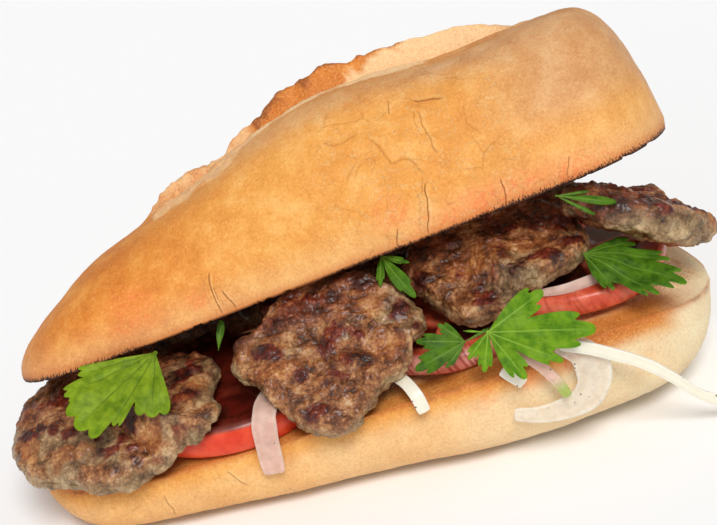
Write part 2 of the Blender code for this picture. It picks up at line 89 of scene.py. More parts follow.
# Tomato slices: centre, half length, half width, thickness, seed of the outline.
TOMATOES = {
    "tomato_1": ((-45.0, -12.5, 31.2), 36.0, 33.5, 11.5, 2),
    "tomato_2": ((31.0, -5.0, 37.3), 31.0, 31.5, 7.6, 4),
    "tomato_3": ((77.5, 0.0, 45.9), 32.0, 32.5, 8.4, 6),
}
# How strong the fine streaks of each slice are.
STREAKS = {"tomato_1": 0.15, "tomato_2": 0.75, "tomato_3": 0.4}

# Cracks and creases of the top half: (x, angle in degrees from the front cut edge) along each,
# then its half width in mm and how dark it is.
CRACKS = (
    (((47.0, 53.2), (50.0, 51.0), (53.0, 50.2), (57.0, 48.4)), 0.5, 0.8),
    (((48.2, 47.5), (48.2, 36.7), (48.6, 29.0), (49.6, 23.0)), 0.35, 0.5),
    (((39.4, 57.5), (38.5, 48.5)), 0.35, 0.5),
    (((14.0, 46.0), (17.0, 43.5), (20.8, 42.2), (24.5, 43.0), (27.5, 45.5)), 0.7, 0.35),
    (((28.5, 42.5), (30.8, 38.0), (32.2, 33.5), (34.5, 26.2), (38.0, 26.5), (40.5, 25.5),
      (43.6, 16.5)), 0.6, 0.4),
    (((43.0, 15.0), (41.5, 11.0), (39.8, 5.5), (37.0, 0.3)), 0.3, 0.85),
    (((66.0, 7.5), (65.4, 4.0), (64.3, 0.3)), 0.35, 0.8),
    (((88.6, 6.5), (87.4, 3.5), (85.8, 0.3)), 0.3, 0.6),
    (((-35.4, 17.0), (-36.8, 12.0), (-37.3, 8.0), (-36.6, 0.3)), 0.28, 0.85),
    (((-34.4, 8.0), (-33.2, 4.0), (-31.5, 0.3)), 0.3, 0.8),
    (((28.6, 4.5), (27.3, 2.4), (25.8, 0.3)), 0.35, 0.8),
    (((56.0, 62.0), (60.0, 61.0), (64.0, 58.0)), 0.45, 0.3),
    (((63.0, 44.0), (62.0, 33.0), (66.0, 24.0)), 0.5, 0.25),
)
# Cracks low on the bottom half's front: (x, height) along each, then half width and darkness.
BOTTOM_CRACKS = (
    (((-49.0, 20.5), (-47.0, 18.0), (-45.5, 15.5), (-43.0, 13.5)), 0.3, 0.6),
    (((-72.0, 17.0), (-71.0, 13.0), (-69.5, 10.5), (-70.0, 7.0)), 0.3, 0.55),
    (((-30.0, 9.0), (-28.5, 6.0)), 0.3, 0.5),
)
# Orange-red blushes low on the top half's front: (x, angle), half length, half height, strength.
BLUSHES = (
    ((28.5, 9.0), 9.0, 9.0, 0.6),
    ((68.0, 1.5), 42.0, 8.5, 1.0),
    ((-65.0, 23.0), 11.0, 6.0, 0.6),
    ((-43.0, 8.5), 5.0, 4.0, 0.6),
    ((-66.0, 10.0), 12.0, 4.5, 0.6),
)
# Front lip of the slash, as a share of the half width from its own line, at x.
LIP_X = (-16.0, -4.0, 10.0, 22.0, 37.0, 55.0, 66.0, 81.0, 102.0)
LIP_SIDE = (-0.3, -0.16, -0.17, -0.12, -0.26, -0.09, 0.1, -0.08, -0.3)
# Lower edge of the burst patch left of the slash: its place across the crown at x.
PATCH_X = (-58.0, -55.0, -43.0, -30.0, -21.0, -13.0, -9.0)
PATCH_SIDE = (0.3, -0.12, -0.36, -0.47, -0.49, -0.3, -0.1)

# Seared spots on the front meatballs: middle, half length and half width on each one's face.
SEARS = {
    "patty_1": ((-29, -7, 5, 4), (25, -21, 6, 4), (23, -7, 6, 5), (-5, -28, 6, 2.5),
                (10, -18, 10, 3), (24, -29, 5, 3), (-22, 6, 8, 6), (2, 4, 9, 6), (-17, -14, 4, 3)),
    "patty_2": ((7, -4, 10, 8.5), (-6, -25, 5, 3.2), (-18.5, -2, 6, 3.5), (28, 0, 5.5, 9.5),
                (-3.5, 16, 9, 4), (5.5, -14.5, 3.5, 2.5), (-8.5, -12, 3.5, 2.5), (-20, 9, 5, 3)),
    "patty_3": ((-4.5, -17.5, 5.5, 4.5), (14, -15, 7.5, 3.6), (6, -18, 4, 3), (-22, 5, 6, 4),
                (-27, -6, 4, 4), (24, -10, 4, 4), (2, 8, 8, 4), (20, 4, 6, 4)),
    "patty_4": ((-15, -4, 9, 8), (4, -21, 8, 5), (-22, 8, 8, 8), (2, 8, 7, 6), (14, -9, 7, 5),
                (21, 4, 6, 5)),
}
# Toasted orange-brown spots, in the same way.
TANS = {
    "patty_1": ((-15, -24, 8, 4), (-31, -14, 4, 5), (12, -28, 6, 4), (28, -13, 5, 6)),
    "patty_2": ((18, 10, 8, 6), (-16, -10, 8, 5), (0, 10, 12, 5), (-26, 2, 5, 6), (20, -8, 5, 5)),
    "patty_3": ((-11, -5, 8, 6), (12, -4, 8, 5), (-18, 10, 8, 5)),
    "patty_4": ((-2, -12, 6, 5), (18, -6, 6, 6)),
}

# Fineness of the grids: points along, and round each section.
TOP_GRID = (340, 230, 34)
BOTTOM_GRID = (260, 120, 60)
PATTY_GRID = (96, 40, 20, 400)
TOMATO_GRID = (34, 18, 8, 720)
LEAF_GRID = (14, 320)
STRIP_POINTS = 36
FLOOR_RADIUS = 12.0  # metres


# ---------------------------------------------------------------- numbers and fields
def smoothstep(value):
    """Rises smoothly from 0 to 1 as value goes from 0 to 1."""
    t = np.clip(value, 0.0, 1.0)
    return t * t * (3.0 - 2.0 * t)


def rising(value, low, high):
    """0 where value is at low, rising smoothly to 1 at high, which may lie below low."""
    return smoothstep((value - low) / (high - low))


def bump(value):
    """A bell that is 1 at 0 and falls to 0 at -1 and 1."""
    return smoothstep(1.0 - np.abs(value))


def spline(value, stations, heights):
    """Smooth curve through the stations: cubic pieces whose slopes are the chords' mean."""
    stations = np.asarray(stations, float)
    heights = np.asarray(heights, float)
    slopes = np.gradient(heights, stations)
    x = np.clip(value, stations[0], stations[-1])
    i = np.clip(np.searchsorted(stations, x) - 1, 0, len(stations) - 2)
    span = stations[i + 1] - stations[i]
    t = (x - stations[i]) / span
    return (
        heights[i] * (2 * t**3 - 3 * t**2 + 1)
        + slopes[i] * span * (t**3 - 2 * t**2 + t)
        + heights[i + 1] * (3 * t**2 - 2 * t**3)
        + slopes[i + 1] * span * (t**3 - t**2)
    )


def noise(points, cell, seed):
    """Smooth random field in -1..1: values on a cubic lattice, blended between the corners."""
    table = np.random.default_rng(seed).uniform(-1.0, 1.0, (32, 32, 32))
    q = np.asarray(points, float) / cell
    low = np.floor(q).astype(int)
    f = q - low
    f = f * f * (3.0 - 2.0 * f)
    total = 0.0
    for corner in range(8):
        step = np.array([corner & 1, corner >> 1 & 1, corner >> 2 & 1])
        weight = np.prod(np.where(step == 1, f, 1.0 - f), axis=-1)
        i, j, k = np.moveaxis((low + step) % 32, -1, 0)
        total = total + weight * table[i, j, k]
    return total


def layered(points, cell, seed, layers=3):
    """Sum of noise fields, each half as large in cell and in height as the one before."""
    return sum(noise(points, cell / 2**n, seed + n) / 2**n for n in range(layers))


def turned(points, roll=0.0, pitch=0.0, yaw=0.0):
    """Points turned about X by roll, then Y by pitch, then Z by yaw, in degrees."""
    a, b, c = (math.radians(v) for v in (roll, pitch, yaw))
    turn_x = np.array([[1, 0, 0], [0, math.cos(a), -math.sin(a)], [0, math.sin(a), math.cos(a)]])
    turn_y = np.array([[math.cos(b), 0, math.sin(b)], [0, 1, 0], [-math.sin(b), 0, math.cos(b)]])
    turn_z = np.array([[math.cos(c), -math.sin(c), 0], [math.sin(c), math.cos(c), 0], [0, 0, 1]])
    return points @ (turn_z @ turn_y @ turn_x).T


def across_line(points, line):
    """Signed distance from each flat point to a polyline, and how far along it that is, 0 to 1."""
    steps = np.linalg.norm(np.diff(line, axis=0), axis=1)
    signed = np.full(points.shape[:-1], 1e9)
    reached = np.zeros(points.shape[:-1])
    for n, (start, end) in enumerate(zip(line[:-1], line[1:])):
        along = end - start
        rel = points - start
        t = np.clip(rel @ along / (along @ along), 0.0, 1.0)
        away = np.linalg.norm(rel - t[..., None] * along, axis=-1)
        turn = np.where(along[0] * rel[..., 1] > along[1] * rel[..., 0], 1.0, -1.0)
        nearer = away < np.abs(signed)
        signed = np.where(nearer, turn * away, signed)
        reached = np.where(nearer, (steps[:n].sum() + t * steps[n]) / steps.sum(), reached)
    return signed, reached


def unit(vectors):
    """Vectors divided by their lengths."""
    return vectors / (np.linalg.norm(vectors, axis=-1, keepdims=True) + 1e-9)


def outward(rings):
    """Unit normals of a surface of closed rings: cross product of its two directions."""
    around = np.roll(rings, -1, axis=1) - np.roll(rings, 1, axis=1)
    return unit(np.cross(around, np.gradient(rings, axis=0)))


# ---------------------------------------------------------------- making pieces
def make_piece(node, finish, points, faces, values):
    """A smooth mesh at the origin in a node's place: points in mm, named per-point values."""
    mesh = bpy.data.meshes.new(node)
    mesh.from_pydata((np.asarray(points) * MM).tolist(), [], faces)
    for key, value in values.items():
        layer = mesh.attributes.new(key, "FLOAT", "POINT")
        layer.data.foreach_set("value", np.asarray(value, np.float32).ravel())
    mesh.shade_smooth()
    mesh.materials.append(finish)
    piece = bpy.data.objects.new(node, mesh)
    bpy.context.scene.collection.objects.link(piece)
    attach(piece, "root")
    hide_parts(node)
    return piece


def ring_faces(count, around):
    """Quads between closed rings and a fan of triangles to the pole at each end."""
    i = np.arange(count - 1)[:, None] * around
    j = np.arange(around)[None, :]
    k = (j + 1) % around
    quads = np.stack(np.broadcast_arrays(i + j, i + k, i + around + k, i + around + j), -1)
    pole_a = np.full(around, count * around)
    end = (count - 1) * around
    fan_a = np.stack([pole_a, k[0], j[0]], -1)
    fan_b = np.stack([pole_a + 1, end + j[0], end + k[0]], -1)
    return quads.reshape(-1, 4).tolist() + fan_a.tolist() + fan_b.tolist()


def closed_piece(name, finish, rings, poles, values):
    """One closed surface of rings and its two poles; a pole takes its ring's mean values."""
    count, around = rings.shape[:2]
    points = np.concatenate([rings.reshape(-1, 3), np.asarray(poles, float)])
    full = {}
    for key, value in values.items():
        value = np.broadcast_to(value, (count, around))
        full[key] = np.concatenate([value.ravel(), [value[0].mean(), value[-1].mean()]])
    return make_piece(name, finish, points, ring_faces(count, around), full)


# ---------------------------------------------------------------- material helpers
# How these kinds of shader node are set unless a call says otherwise, and which output is used.
USUAL = {
    "Math": {"operation": "MULTIPLY"},
    "MapRange": {"interpolation_type": "SMOOTHSTEP"},
    "Mix": {"data_type": "RGBA"},
}
OUTPUTS = {"Attribute": "Fac", "Mix": 2, "TexCoord": "Object"}


def linear(code):
    """Linear RGBA of an sRGB colour given as hex digits."""
    srgb = [int(code[i : i + 2], 16) / 255 for i in (0, 2, 4)]
    return (*(c / 12.92 if c <= 0.04045 else ((c + 0.055) / 1.055) ** 2.4 for c in srgb), 1.0)


def cells(size):
    """Scale of a pattern whose blotches are size mm across."""
    return 1.0 / (size * MM)


def wire(tree, node, inputs):
    """Gives inputs of a node their values, hex colours or other nodes' outputs."""
    for key, value in inputs.items():
        if isinstance(value, bpy.types.NodeSocket):
            tree.links.new(value, node.inputs[key])
        else:
            node.inputs[key].default_value = linear(value) if isinstance(value, str) else value


def add(tree, kind, inputs, out=None, stops=(), **settings):
    """Adds a shader node with its settings and links, and gives its output.

    Stops are a colour ramp's (place, hex colour) pairs.
    """
    node = tree.nodes.new("ShaderNode" + kind)
    for key, value in {**USUAL.get(kind, {}), **settings}.items():
        setattr(node, key, value)
    wire(tree, node, inputs)
    if stops:
        elements = node.color_ramp.elements
        while len(elements) < len(stops):
            elements.new(0.5)
        for element, (place, code) in zip(elements, stops):
            element.position, element.color = place, linear(code)
    return node.outputs[OUTPUTS.get(kind, 0) if out is None else out]


def blank(name, values, grains, inputs):
    """A new material, with these inputs set on its shader, and what its patterns start from.

    Gives the material, a function that sets inputs of its shader, one that adds a node, and
    its fields: where (the position in the object), the per-point values, and the grains, noise
    in 0..1 with a size in mm, a detail and a roughness each.
    """
    made = bpy.data.materials.new(name)
    made.use_nodes = True
    tree = made.node_tree
    set_shader = partial(wire, tree, tree.nodes["Principled BSDF"])
    set_shader(inputs)
    node = partial(add, tree)
    where = node("TexCoord", {})
    here = {key: node("Attribute", {}, attribute_name=key) for key in values}
    for key, (size, detail, rough) in grains.items():
        noisy = {"Vector": where, "Scale": cells(size), "Detail": detail, "Roughness": rough}
        here[key] = node("TexNoise", noisy)
    return made, set_shader, node, SimpleNamespace(where=where, **here)


def painted(node, colour, *layers):
    """The colour with layers of (share, colour) laid over it one after the other."""
    for share, layer in layers:
        colour = node("Mix", {0: share, 6: colour, 7: layer})
    return colour


def times(node, first, *others):
    """Product of fields and numbers."""
    for other in others:
        first = node("Math", {0: first, 1: other})
    return first


def thin_lines(node, value, middle, width):
    """1 where value is at middle, fading to 0 at width from it: lines along its contour."""
    off = node("Math", {0: value, 1: middle}, operation="SUBTRACT")
    off = node("Math", {0: off}, operation="ABSOLUTE")
    return node("MapRange", {0: off, 1: 0.0, 2: width, 3: 1.0, 4: 0.0})


# ---------------------------------------------------------------- materials
def baked_crust():
    """Wheat bread crust, oven baked: mottled golden tan and dull, crazed, singed where it was cut, with
    painted sheen over the crown, a painted highlight beside its cracks and painted shade at the top
    half's cut edge.
    """
    made, set_shader, node, here = blank(
        "baked_crust",
        ("gold", "dusk", "cream", "peach", "blush", "brown", "crumb", "crazed", "crack",
         "crack_side", "singe", "edge", "scorch"),
        {"mottle": (10.0, 6.0, 0.66), "speck": (0.9, 3.0, 0.7), "vein": (8.0, 3.0, 0.6),
         "patch": (9.0, 2.0, 0.5), "flake": (7.0, 4.0, 0.6), "wobble": (1.6, 2.0, 0.5),
         "fine": (0.6, 3.0, 0.6)},
        {"Roughness": 0.62, "Specular IOR Level": 0.3, "Subsurface Weight": 0.1,
         "Subsurface Radius": (1.0, 0.45, 0.2), "Subsurface Scale": 1.5 * MM},
    )
    # The third ramp, a duller pinkish tan, is painted sheen where light grazes the crown.
    tan, gold, dusk, toast, crumb, freckles = (
        node("ValToRGB", {0: grain}, stops=stops) for grain, stops in (
            (here.mottle, ((0.34, "CE7829"), (0.5, "DC8834"), (0.66, "E79D48"))),
            (here.mottle, ((0.34, "DD9743"), (0.5, "E6A24D"), (0.66, "EEB364"))),
            (here.mottle, ((0.34, "CA8E5C"), (0.5, "D59F6F"), (0.66, "DEAE82"))),
            (here.speck, ((0.3, "BC6424"), (0.5, "D07C36"), (0.7, "E0984C"))),
            (here.speck, ((0.35, "DDAE74"), (0.5, "ECC894"), (0.65, "F6DFB6"))),
            (here.speck, ((0.3, "E2D4C8"), (0.5, "FAF8F6"), (0.72, "FFFFFF"))),
        )
    )
    haze = node("MapRange", {0: here.mottle, 1: 0.35, 2: 0.6, 3: 0.2, 4: 0.75})
    colour = painted(
        node, tan, (here.gold, gold), (here.dusk, dusk), (here.cream, "F0E2BC"),
        (here.peach, "F6CA95"), (times(node, here.blush, haze), "EA8240"),
        (times(node, thin_lines(node, here.vein, 0.5, 0.05), here.blush, 0.65), "E97443"),
        (here.brown, toast), (node("MapRange", {0: here.brown, 1: 0.7, 4: 0.7}), "8A4A22"),
        (here.crumb, crumb),
    )
    colour = node("Mix", {0: 0.7, 6: colour, 7: freckles}, blend_type="MULTIPLY")
    # Crazing and cracks: thin dark cells in patches, pale lifted flake lines, and drawn cracks with a
    # painted highlight along one side.
    push = node("TexNoise", {"Vector": here.where, "Scale": cells(5.0)}, out="Color")
    moved = {0: push, 1: (3.0 * MM,) * 3, 2: here.where}
    moved = node("VectorMath", moved, operation="MULTIPLY_ADD")
    crazing = {"Vector": moved, "Scale": cells(13.0)}
    crazing = node("TexVoronoi", crazing, feature="DISTANCE_TO_EDGE")
    crazing = node("MapRange", {0: crazing, 1: 0.0, 2: 0.03, 3: 1.0, 4: 0.0})
    crazing = times(node, crazing, here.crazed, node("MapRange", {0: here.patch, 1: 0.46, 2: 0.6}))
    lifted = times(node, thin_lines(node, here.flake, 0.53, 0.014), here.crazed)
    side = node("Math", {0: here.crack_side, 1: -0.8}, operation="ADD")
    side = node("Math", {0: here.wobble, 1: 1.6, 2: side}, operation="MULTIPLY_ADD")
    crack = times(node, thin_lines(node, side, 0.0, 1.0), here.crack)
    flake = times(node, thin_lines(node, side, 2.6, 1.8), here.crack, 0.22)
    # The singed cut edge: its reach in mm varies in upright streaks 0.35 mm wide.
    hair = {"Vector": here.where, "Scale": (cells(0.35), cells(0.35), cells(3.0))}
    hair = node("TexNoise", {"Vector": node("Mapping", hair), "Scale": 1.0})
    hair = node("MapRange", {0: hair, 1: 0.35, 2: 0.7, 3: 0.3, 4: 1.3})
    burnt = node("Math", {0: times(node, here.singe, hair), 1: here.edge}, operation="SUBTRACT")
    colour = painted(
        node, colour, (node("MapRange", {0: here.speck, 1: 0.56, 2: 0.7, 4: 0.22}), "FFD894"),
        (times(node, crazing, 0.3), "A8642C"), (times(node, lifted, 0.32), "FADCA6"),
        # The pale colour beside each crack is a painted highlight on one side of it.
        (times(node, crack, 0.85), "8E4C1E"), (flake, "FCD8A0"),
        (node("MapRange", {0: burnt, 1: -4.0, 2: 0.2, 4: 0.6}), "BE6428"),
        # The scorch colour holds scorched spots, and painted shade along the top half's cut edge.
        (node("MapRange", {0: burnt, 1: -0.5, 2: 0.7}), "2E150C"), (here.scorch, "35190E"),
    )
    relief = here.fine
    for field, height in ((here.speck, 1.5), (crack, -3.5), (crazing, -1.225), (lifted, 0.8)):
        relief = node("Math", {0: field, 1: height, 2: relief}, operation="MULTIPLY_ADD")
    relief = node("Bump", {"Height": relief, "Strength": 1.0, "Distance": 0.10 * MM})
    set_shader({"Base Color": colour, "Normal": relief})
    return made


def grilled_meat():
    """Minced meat seared on a grill: moist grey-brown, toasted and dark red-brown on its crests, with a
    painted highlight on the highest lumps and painted shade in its creases and near the bread.
    """
    made, set_shader, node, here = blank(
        "grilled_meat", ("side", "tan", "sear", "crease"),
        {"patch": (6.5, 5.0, 0.6), "fine": (1.1, 3.0, 0.6), "grit": (0.8, 3.0, 0.65)},
        {"IOR": 1.45, "Specular IOR Level": 0.35, "Coat Weight": 0.34, "Coat Roughness": 0.24,
         "Coat Tint": (1.0, 0.84, 0.66, 1.0), "Subsurface Weight": 0.08,
         "Subsurface Radius": (1.0, 0.4, 0.25), "Subsurface Scale": 1.2 * MM},
    )
    both = {0: here.patch, 1: 0.68, 2: times(node, here.fine, 0.32)}
    both = node("Math", both, operation="MULTIPLY_ADD")
    mince, pale, tan, char = (
        node("ValToRGB", {0: both}, stops=stops) for stops in (
            ((0.37, "341A0B"), (0.44, "62361A"), (0.5, "8C5732"), (0.56, "AC794C"), (0.65, "CEAA7E")),
            ((0.37, "503A24"), (0.44, "7C6444"), (0.52, "9C8461"), (0.64, "C2AC88")),
            ((0.38, "6E3716"), (0.5, "9E5A2C"), (0.62, "C68E54")),
            ((0.38, "1C0503"), (0.48, "481006"), (0.56, "702412"), (0.66, "9E5A30")),
        )
    )
    relief = node("Math", {0: here.grit, 1: here.fine}, operation="ADD")
    # The near-black crease colour is painted shade in the creases between lumps.
    set_shader({
        "Base Color": painted(node, mince, (here.side, pale), (here.tan, tan), (here.sear, char),
                              (here.crease, "241006")),
        "Roughness": node("MapRange", {0: here.fine, 1: 0.35, 2: 0.65, 3: 0.3, 4: 0.6}),
        "Normal": node("Bump", {"Height": relief, "Strength": 1.0, "Distance": 0.4 * MM}),
    })
    return made


def tomato_flesh():
    """Ripe tomato: glossy red skin, salmon flesh with fine streaks from the core to the skin; its dark
    gel colour also paints shade over the first slice's top.
    """
    made, set_shader, node, here = blank(
        "tomato_flesh", ("skin", "gel", "pale", "streak"),
        {"mottle": (5.0, 3.0, 0.5), "fine": (0.9, 2.0, 0.5)},
        {"Roughness": 0.34, "IOR": 1.36, "Coat Weight": 0.12, "Coat Roughness": 0.2,
         "Subsurface Weight": 0.2, "Subsurface Radius": (1.0, 0.25, 0.1),
         "Subsurface Scale": 2.0 * MM},
    )
    flesh, skin, gel, pale = (
        node("ValToRGB", {0: here.mottle}, stops=stops) for stops in (
            ((0.35, "CC4626"), (0.5, "DA5A38"), (0.65, "E47452")),
            ((0.35, "D2381C"), (0.65, "E4502E")),
            ((0.35, "360805"), (0.65, "5E140B")),
            ((0.35, "D88878"), (0.65, "EBB4A4")),
        )
    )
    set_shader({
        "Base Color": painted(node, flesh, (here.skin, skin), (here.gel, gel), (here.pale, pale),
                              (here.streak, "9C2016")),
        "Normal": node("Bump", {"Height": here.fine, "Strength": 1.0, "Distance": 0.06 * MM}),
    })
    return made


def onion_shred(name, body, edge, clear):
    """Raw onion: wet and see-through, with fine lines along the shred and grains of pepper."""
    made, set_shader, node, here = blank(
        name, ("rim", "line", "green"), {"cloud": (4.0, 3.0, 0.5)},
        {"Roughness": 0.28, "IOR": 1.36, "Subsurface Weight": 0.4,
         "Subsurface Radius": (1.0, 0.8, 0.6), "Subsurface Scale": 2.0 * MM},
    )
    dots = {"Vector": here.where, "Scale": cells(2.3)}
    rare = node("MapRange", {0: node("TexVoronoi", dots, out="Color"), 1: 0.62, 2: 0.64})
    near = node("MapRange", {0: node("TexVoronoi", dots), 1: 0.10, 2: 0.16, 3: 1.0, 4: 0.0})
    pepper = times(node, rare, near)
    opaque = {0: here.cloud, 1: 0.35, 2: 0.65, 3: 1.0 - clear, 4: 1.0 - 0.6 * clear}
    opaque = node("MapRange", opaque)
    for other in (times(node, here.rim, 1.0 - 0.8 * clear), pepper):
        opaque = node("Math", {0: opaque, 1: other}, operation="MAXIMUM")
    lines = node("MapRange", {0: here.line, 1: 0.35, 2: 0.9, 4: 0.4})
    set_shader({
        "Base Color": painted(node, body, (here.rim, edge), (lines, edge),
                              (here.green, "A9BF5E"), (pepper, "3A241C")),
        "Alpha": opaque,
        "Normal": node("Bump", {"Height": here.line, "Strength": 1.0, "Distance": 0.12 * MM}),
    })
    return made


def parsley_leaf(name, dark, light, vein):
    """Flat-leaved parsley: matt green with a soft sheen, paler along its veins, except where the vein
    colour is darker as painted shade in their grooves.
    """
    made, set_shader, node, here = blank(
        name, ("vein", "edge"), {"mottle": (4.0, 4.0, 0.6), "fine": (0.5, 2.0, 0.5)},
        {"Roughness": 0.5, "Specular IOR Level": 0.12, "Subsurface Weight": 0.3,
         "Subsurface Radius": (0.5, 1.0, 0.15), "Subsurface Scale": 1.2 * MM},
    )
    colour = node("ValToRGB", {0: here.mottle}, stops=((0.35, dark), (0.62, light)))
    set_shader({
        "Base Color": painted(node, colour, (here.vein, vein), (here.edge, light)),
        "Normal": node("Bump", {"Height": here.fine, "Strength": 1.0, "Distance": 0.06 * MM}),
    })
    return made


# ---------------------------------------------------------------- bread
def bottom_face(x):
    """Height of the bottom half's cut face at x."""
    return spline(x, BOTTOM_FACE_X, BOTTOM_FACE_Z)


def top_face(x, y):
    """Height of the top half's cut face at (x, y)."""
    return TOP_FACE_Z + TOP_FACE_RISE * x - TOP_FACE_DROP * (y - TOP_FACE_Y)


def end_rounding(x, left_start, left_power, right_start, right_power):
    """1 along the middle of the loaf, falling to 0 at its ends as a superellipse quarter."""
    left = np.clip((left_start - x) / (LOAF_HALF_LENGTH + left_start), 0.0, 1.0)
    right = np.clip((x - right_start) / (LOAF_HALF_LENGTH - right_start), 0.0, 1.0)
    return np.sqrt(np.clip(1.0 - left**left_power - right**right_power, 0.0, 1.0))


def loaf_stations(count):
    """Places along the loaf: evenly spaced, and closer together towards both ends."""
    t = np.linspace(-1.0, 1.0, count + 2)[1:-1]
    even = LOAF_HALF_LENGTH * t
    return 0.6 * even + 0.4 * LOAF_HALF_LENGTH * np.sin(t * math.pi / 2)


def sections(x, width, side, height):
    """Rings across the loaf at each x, from shares of the half width and from heights."""
    return np.stack(np.broadcast_arrays(x[:, None], width[:, None] * side, height), -1)


def bottom_half_width(x):
    """Half width of the bottom half's cut face at x, measured from the loaf's own middle."""
    return BOTTOM_HALF_WIDTH * end_rounding(x, -62.0, 3.0, 42.0, 2.5)


def bread_bottom(finish):
    """Bottom half: each section is a flat cut face over a squarish half ellipse.

    Depth below the face = depth * sin(t) ** 0.7, half width = width * cos(t) ** 0.5
    * (1 + bulge * sin(2t)), and the underside is flattened where it meets the table.
    """
    stations, crust_points, face_points = BOTTOM_GRID
    x = loaf_stations(stations)
    width = bottom_half_width(x)
    face = bottom_face(x)
    lift = 5.5 * rising(x, 40, 121) + 2.5 * rising(x, -90, -121)
    depth = (face - lift + 0.8) * end_rounding(x, -84.0, 3.0, 92.0, 3.2)
    across = np.linspace(1.0, -1.0, face_points + 2)[1:-1]
    t = math.pi * (0.5 + 0.5 * np.sin(np.linspace(math.pi / 2, -math.pi / 2, crust_points)))
    cos_t, sin_t = np.cos(t), np.sin(t)
    crust_y = np.sign(cos_t) * np.abs(cos_t) ** 0.5 * (1.0 + BOTTOM_BULGE * np.abs(np.sin(2 * t)))
    side = np.concatenate([crust_y, across])[None, :]
    rise = np.concatenate([-(np.abs(sin_t) ** 0.7), np.zeros(face_points)])[None, :]
    rings = sections(BOTTOM_CENTRE_X + x, width, side, face[:, None] + depth[:, None] * rise)
    is_crust = smoothstep(-rise / 0.02)
    rings[..., 1] += is_crust * 0.9 * noise(rings, 34.0, 11)
    below = depth[:, None] * -rise
    inside = width[:, None] * (1.0 - np.abs(side))
    values = bottom_values(rings, x[:, None], below, inside, is_crust)
    pores = values["crumb"] * -0.9 * smoothstep(layered(rings, 3.2, 71) * 1.5 - 0.2)
    fine = is_crust * (0.30 * noise(rings, 9.0, 13) + 0.09 * layered(rings, 2.4, 15, 2))
    rings = rings + outward(rings) * (pores + fine)[..., None]
    rings[..., 2] = np.maximum(rings[..., 2], 0.0)
    ends = [[BOTTOM_CENTRE_X + s * (LOAF_HALF_LENGTH + 0.6), 0.0, 0.0] for s in (-1, 1)]
    for end, ring in zip(ends, (rings[0], rings[-1])):
        end[2] = ring[:, 2].mean()
    return closed_piece("bread_bottom", finish, rings, ends, values)


def bottom_values(points, x, below, inside, is_crust):
    """Where the bottom half is pale, toasted, blushed and burnt; lengths in mm."""
    front = smoothstep(-points[..., 1] / 20.0)
    patchy = 0.5 + 0.5 * layered(points, 12.0, 81)
    blotchy = rising(layered(points, 7.0, 84), -0.1, 0.3)
    edge = below * is_crust + np.minimum(inside, 30.0) * (1.0 - is_crust)
    right = rising(x, 10, 80)
    gold = rising(x, -135, -85) * (1.0 - 0.4 * right)
    cream = (0.2 + 0.18 * rising(x, -60, 0) + 0.5 * right) * rising(below, 1.5, 9.5)
    cream = cream * (0.75 + 0.35 * patchy) * is_crust
    belt = rising(x, 5, 25) * rising(x, 85, 60)
    blush = is_crust * front * belt * rising(below, 11, 3) * blotchy
    rim = 0.9 + 1.3 * rising(x, -10, 20) + 3.2 * rising(x, 62, 82)
    fade = smoothstep(1.25 - edge / (rim * (0.8 + 0.5 * patchy)))
    brown = fade * (0.45 + 0.3 * rising(x, 40, 80)) * rising(x, 110, 96)
    left_end = rising(x, -70, -82) * smoothstep(1.2 - edge / 3.5)
    brown = np.maximum(brown, left_end * (0.5 + 0.5 * blotchy))
    face_toast = (1.0 - is_crust) * smoothstep(1.2 - inside / 14.0) * (0.44 + 0.32 * patchy)
    face_toast = face_toast * (0.85 + 0.35 * smoothstep(inside / 8.0)) * rising(x, 118, 104)
    spots = rising(layered(points, 5.0, 85), 0.3, 0.6) * smoothstep(1.1 - edge / 2.2)
    shares = {
        "gold": gold,
        "cream": np.maximum(cream, 0.85 * rising(x, 98, 110)),
        "brown": np.maximum(brown, face_toast),
        "blush": 0.8 * blush,
        "crumb": (1.0 - is_crust) * rising(inside, 8, 18),
        "scorch": 0.25 * spots,
        "crazed": 0.6 * is_crust * rising(x, -20, -50),
    }
    return {
        **{key: np.clip(share, 0.0, 1.0) for key, share in shares.items()},
        "edge": np.clip(edge, 0.0, 9.0),
        "singe": -1.0,
        **crack_values(points[..., [0, 2]], BOTTOM_CRACKS),
    }


def slash_line(x):
    """Where the slash lies across the crown, as a share of the half width, at x."""
    return SLASH_START_SIDE + SLASH_SHIFT * (x - SLASH_START_X) / (SLASH_END_X - SLASH_START_X)


def crown_relief(x, side):
    """Height that the slash adds to the crown: a dip behind the front lip, then the raised ear."""
    along = rising(x, SLASH_START_X, SLASH_START_X + 18) * rising(x, SLASH_END_X, SLASH_END_X - 30)
    ear = spline(x, EAR_X, EAR_H)
    s = side - slash_line(x)
    dip = -SLASH_DEPTH * bump((s - 0.10) / 0.14)
    lip = 1.0 * bump((s + 0.05) / 0.10)
    middle = rising(x, -35, -25) * rising(x, 55, 45)
    lumpy = 1.0 + 0.4 * middle * noise(np.stack([x, 0.0 * x, 0.0 * x], -1), 9.0, 17)
    crest = ear * lumpy * rising(s, 0.1, 0.24) * rising(s, 0.85, 0.3)
    return along * (dip + lip + crest)


def crown_section(t):
    """(share of the half width, share of the crown's height) at angle t from the front edge."""
    cos_t, sin_t = -np.cos(t), np.sin(t)
    return np.sign(cos_t) * np.abs(cos_t) ** 0.8, np.abs(sin_t) ** 0.8


def crown_sizes(x):
    """Half width and height of the top half at x."""
    width = TOP_HALF_WIDTH * end_rounding(x, -66.0, 3.0, 66.0, 3.0)
    return width, spline(x, CROWN_X, CROWN_H) * end_rounding(x, -76.0, 2.2, 92.0, 4.0)


def crown_point(x, angle):
    """The point on the top half at x and an angle in degrees from the front edge."""
    width, height = crown_sizes(x)
    side, rise = crown_section(math.radians(angle))
    return np.array([x, width * side, height * rise])


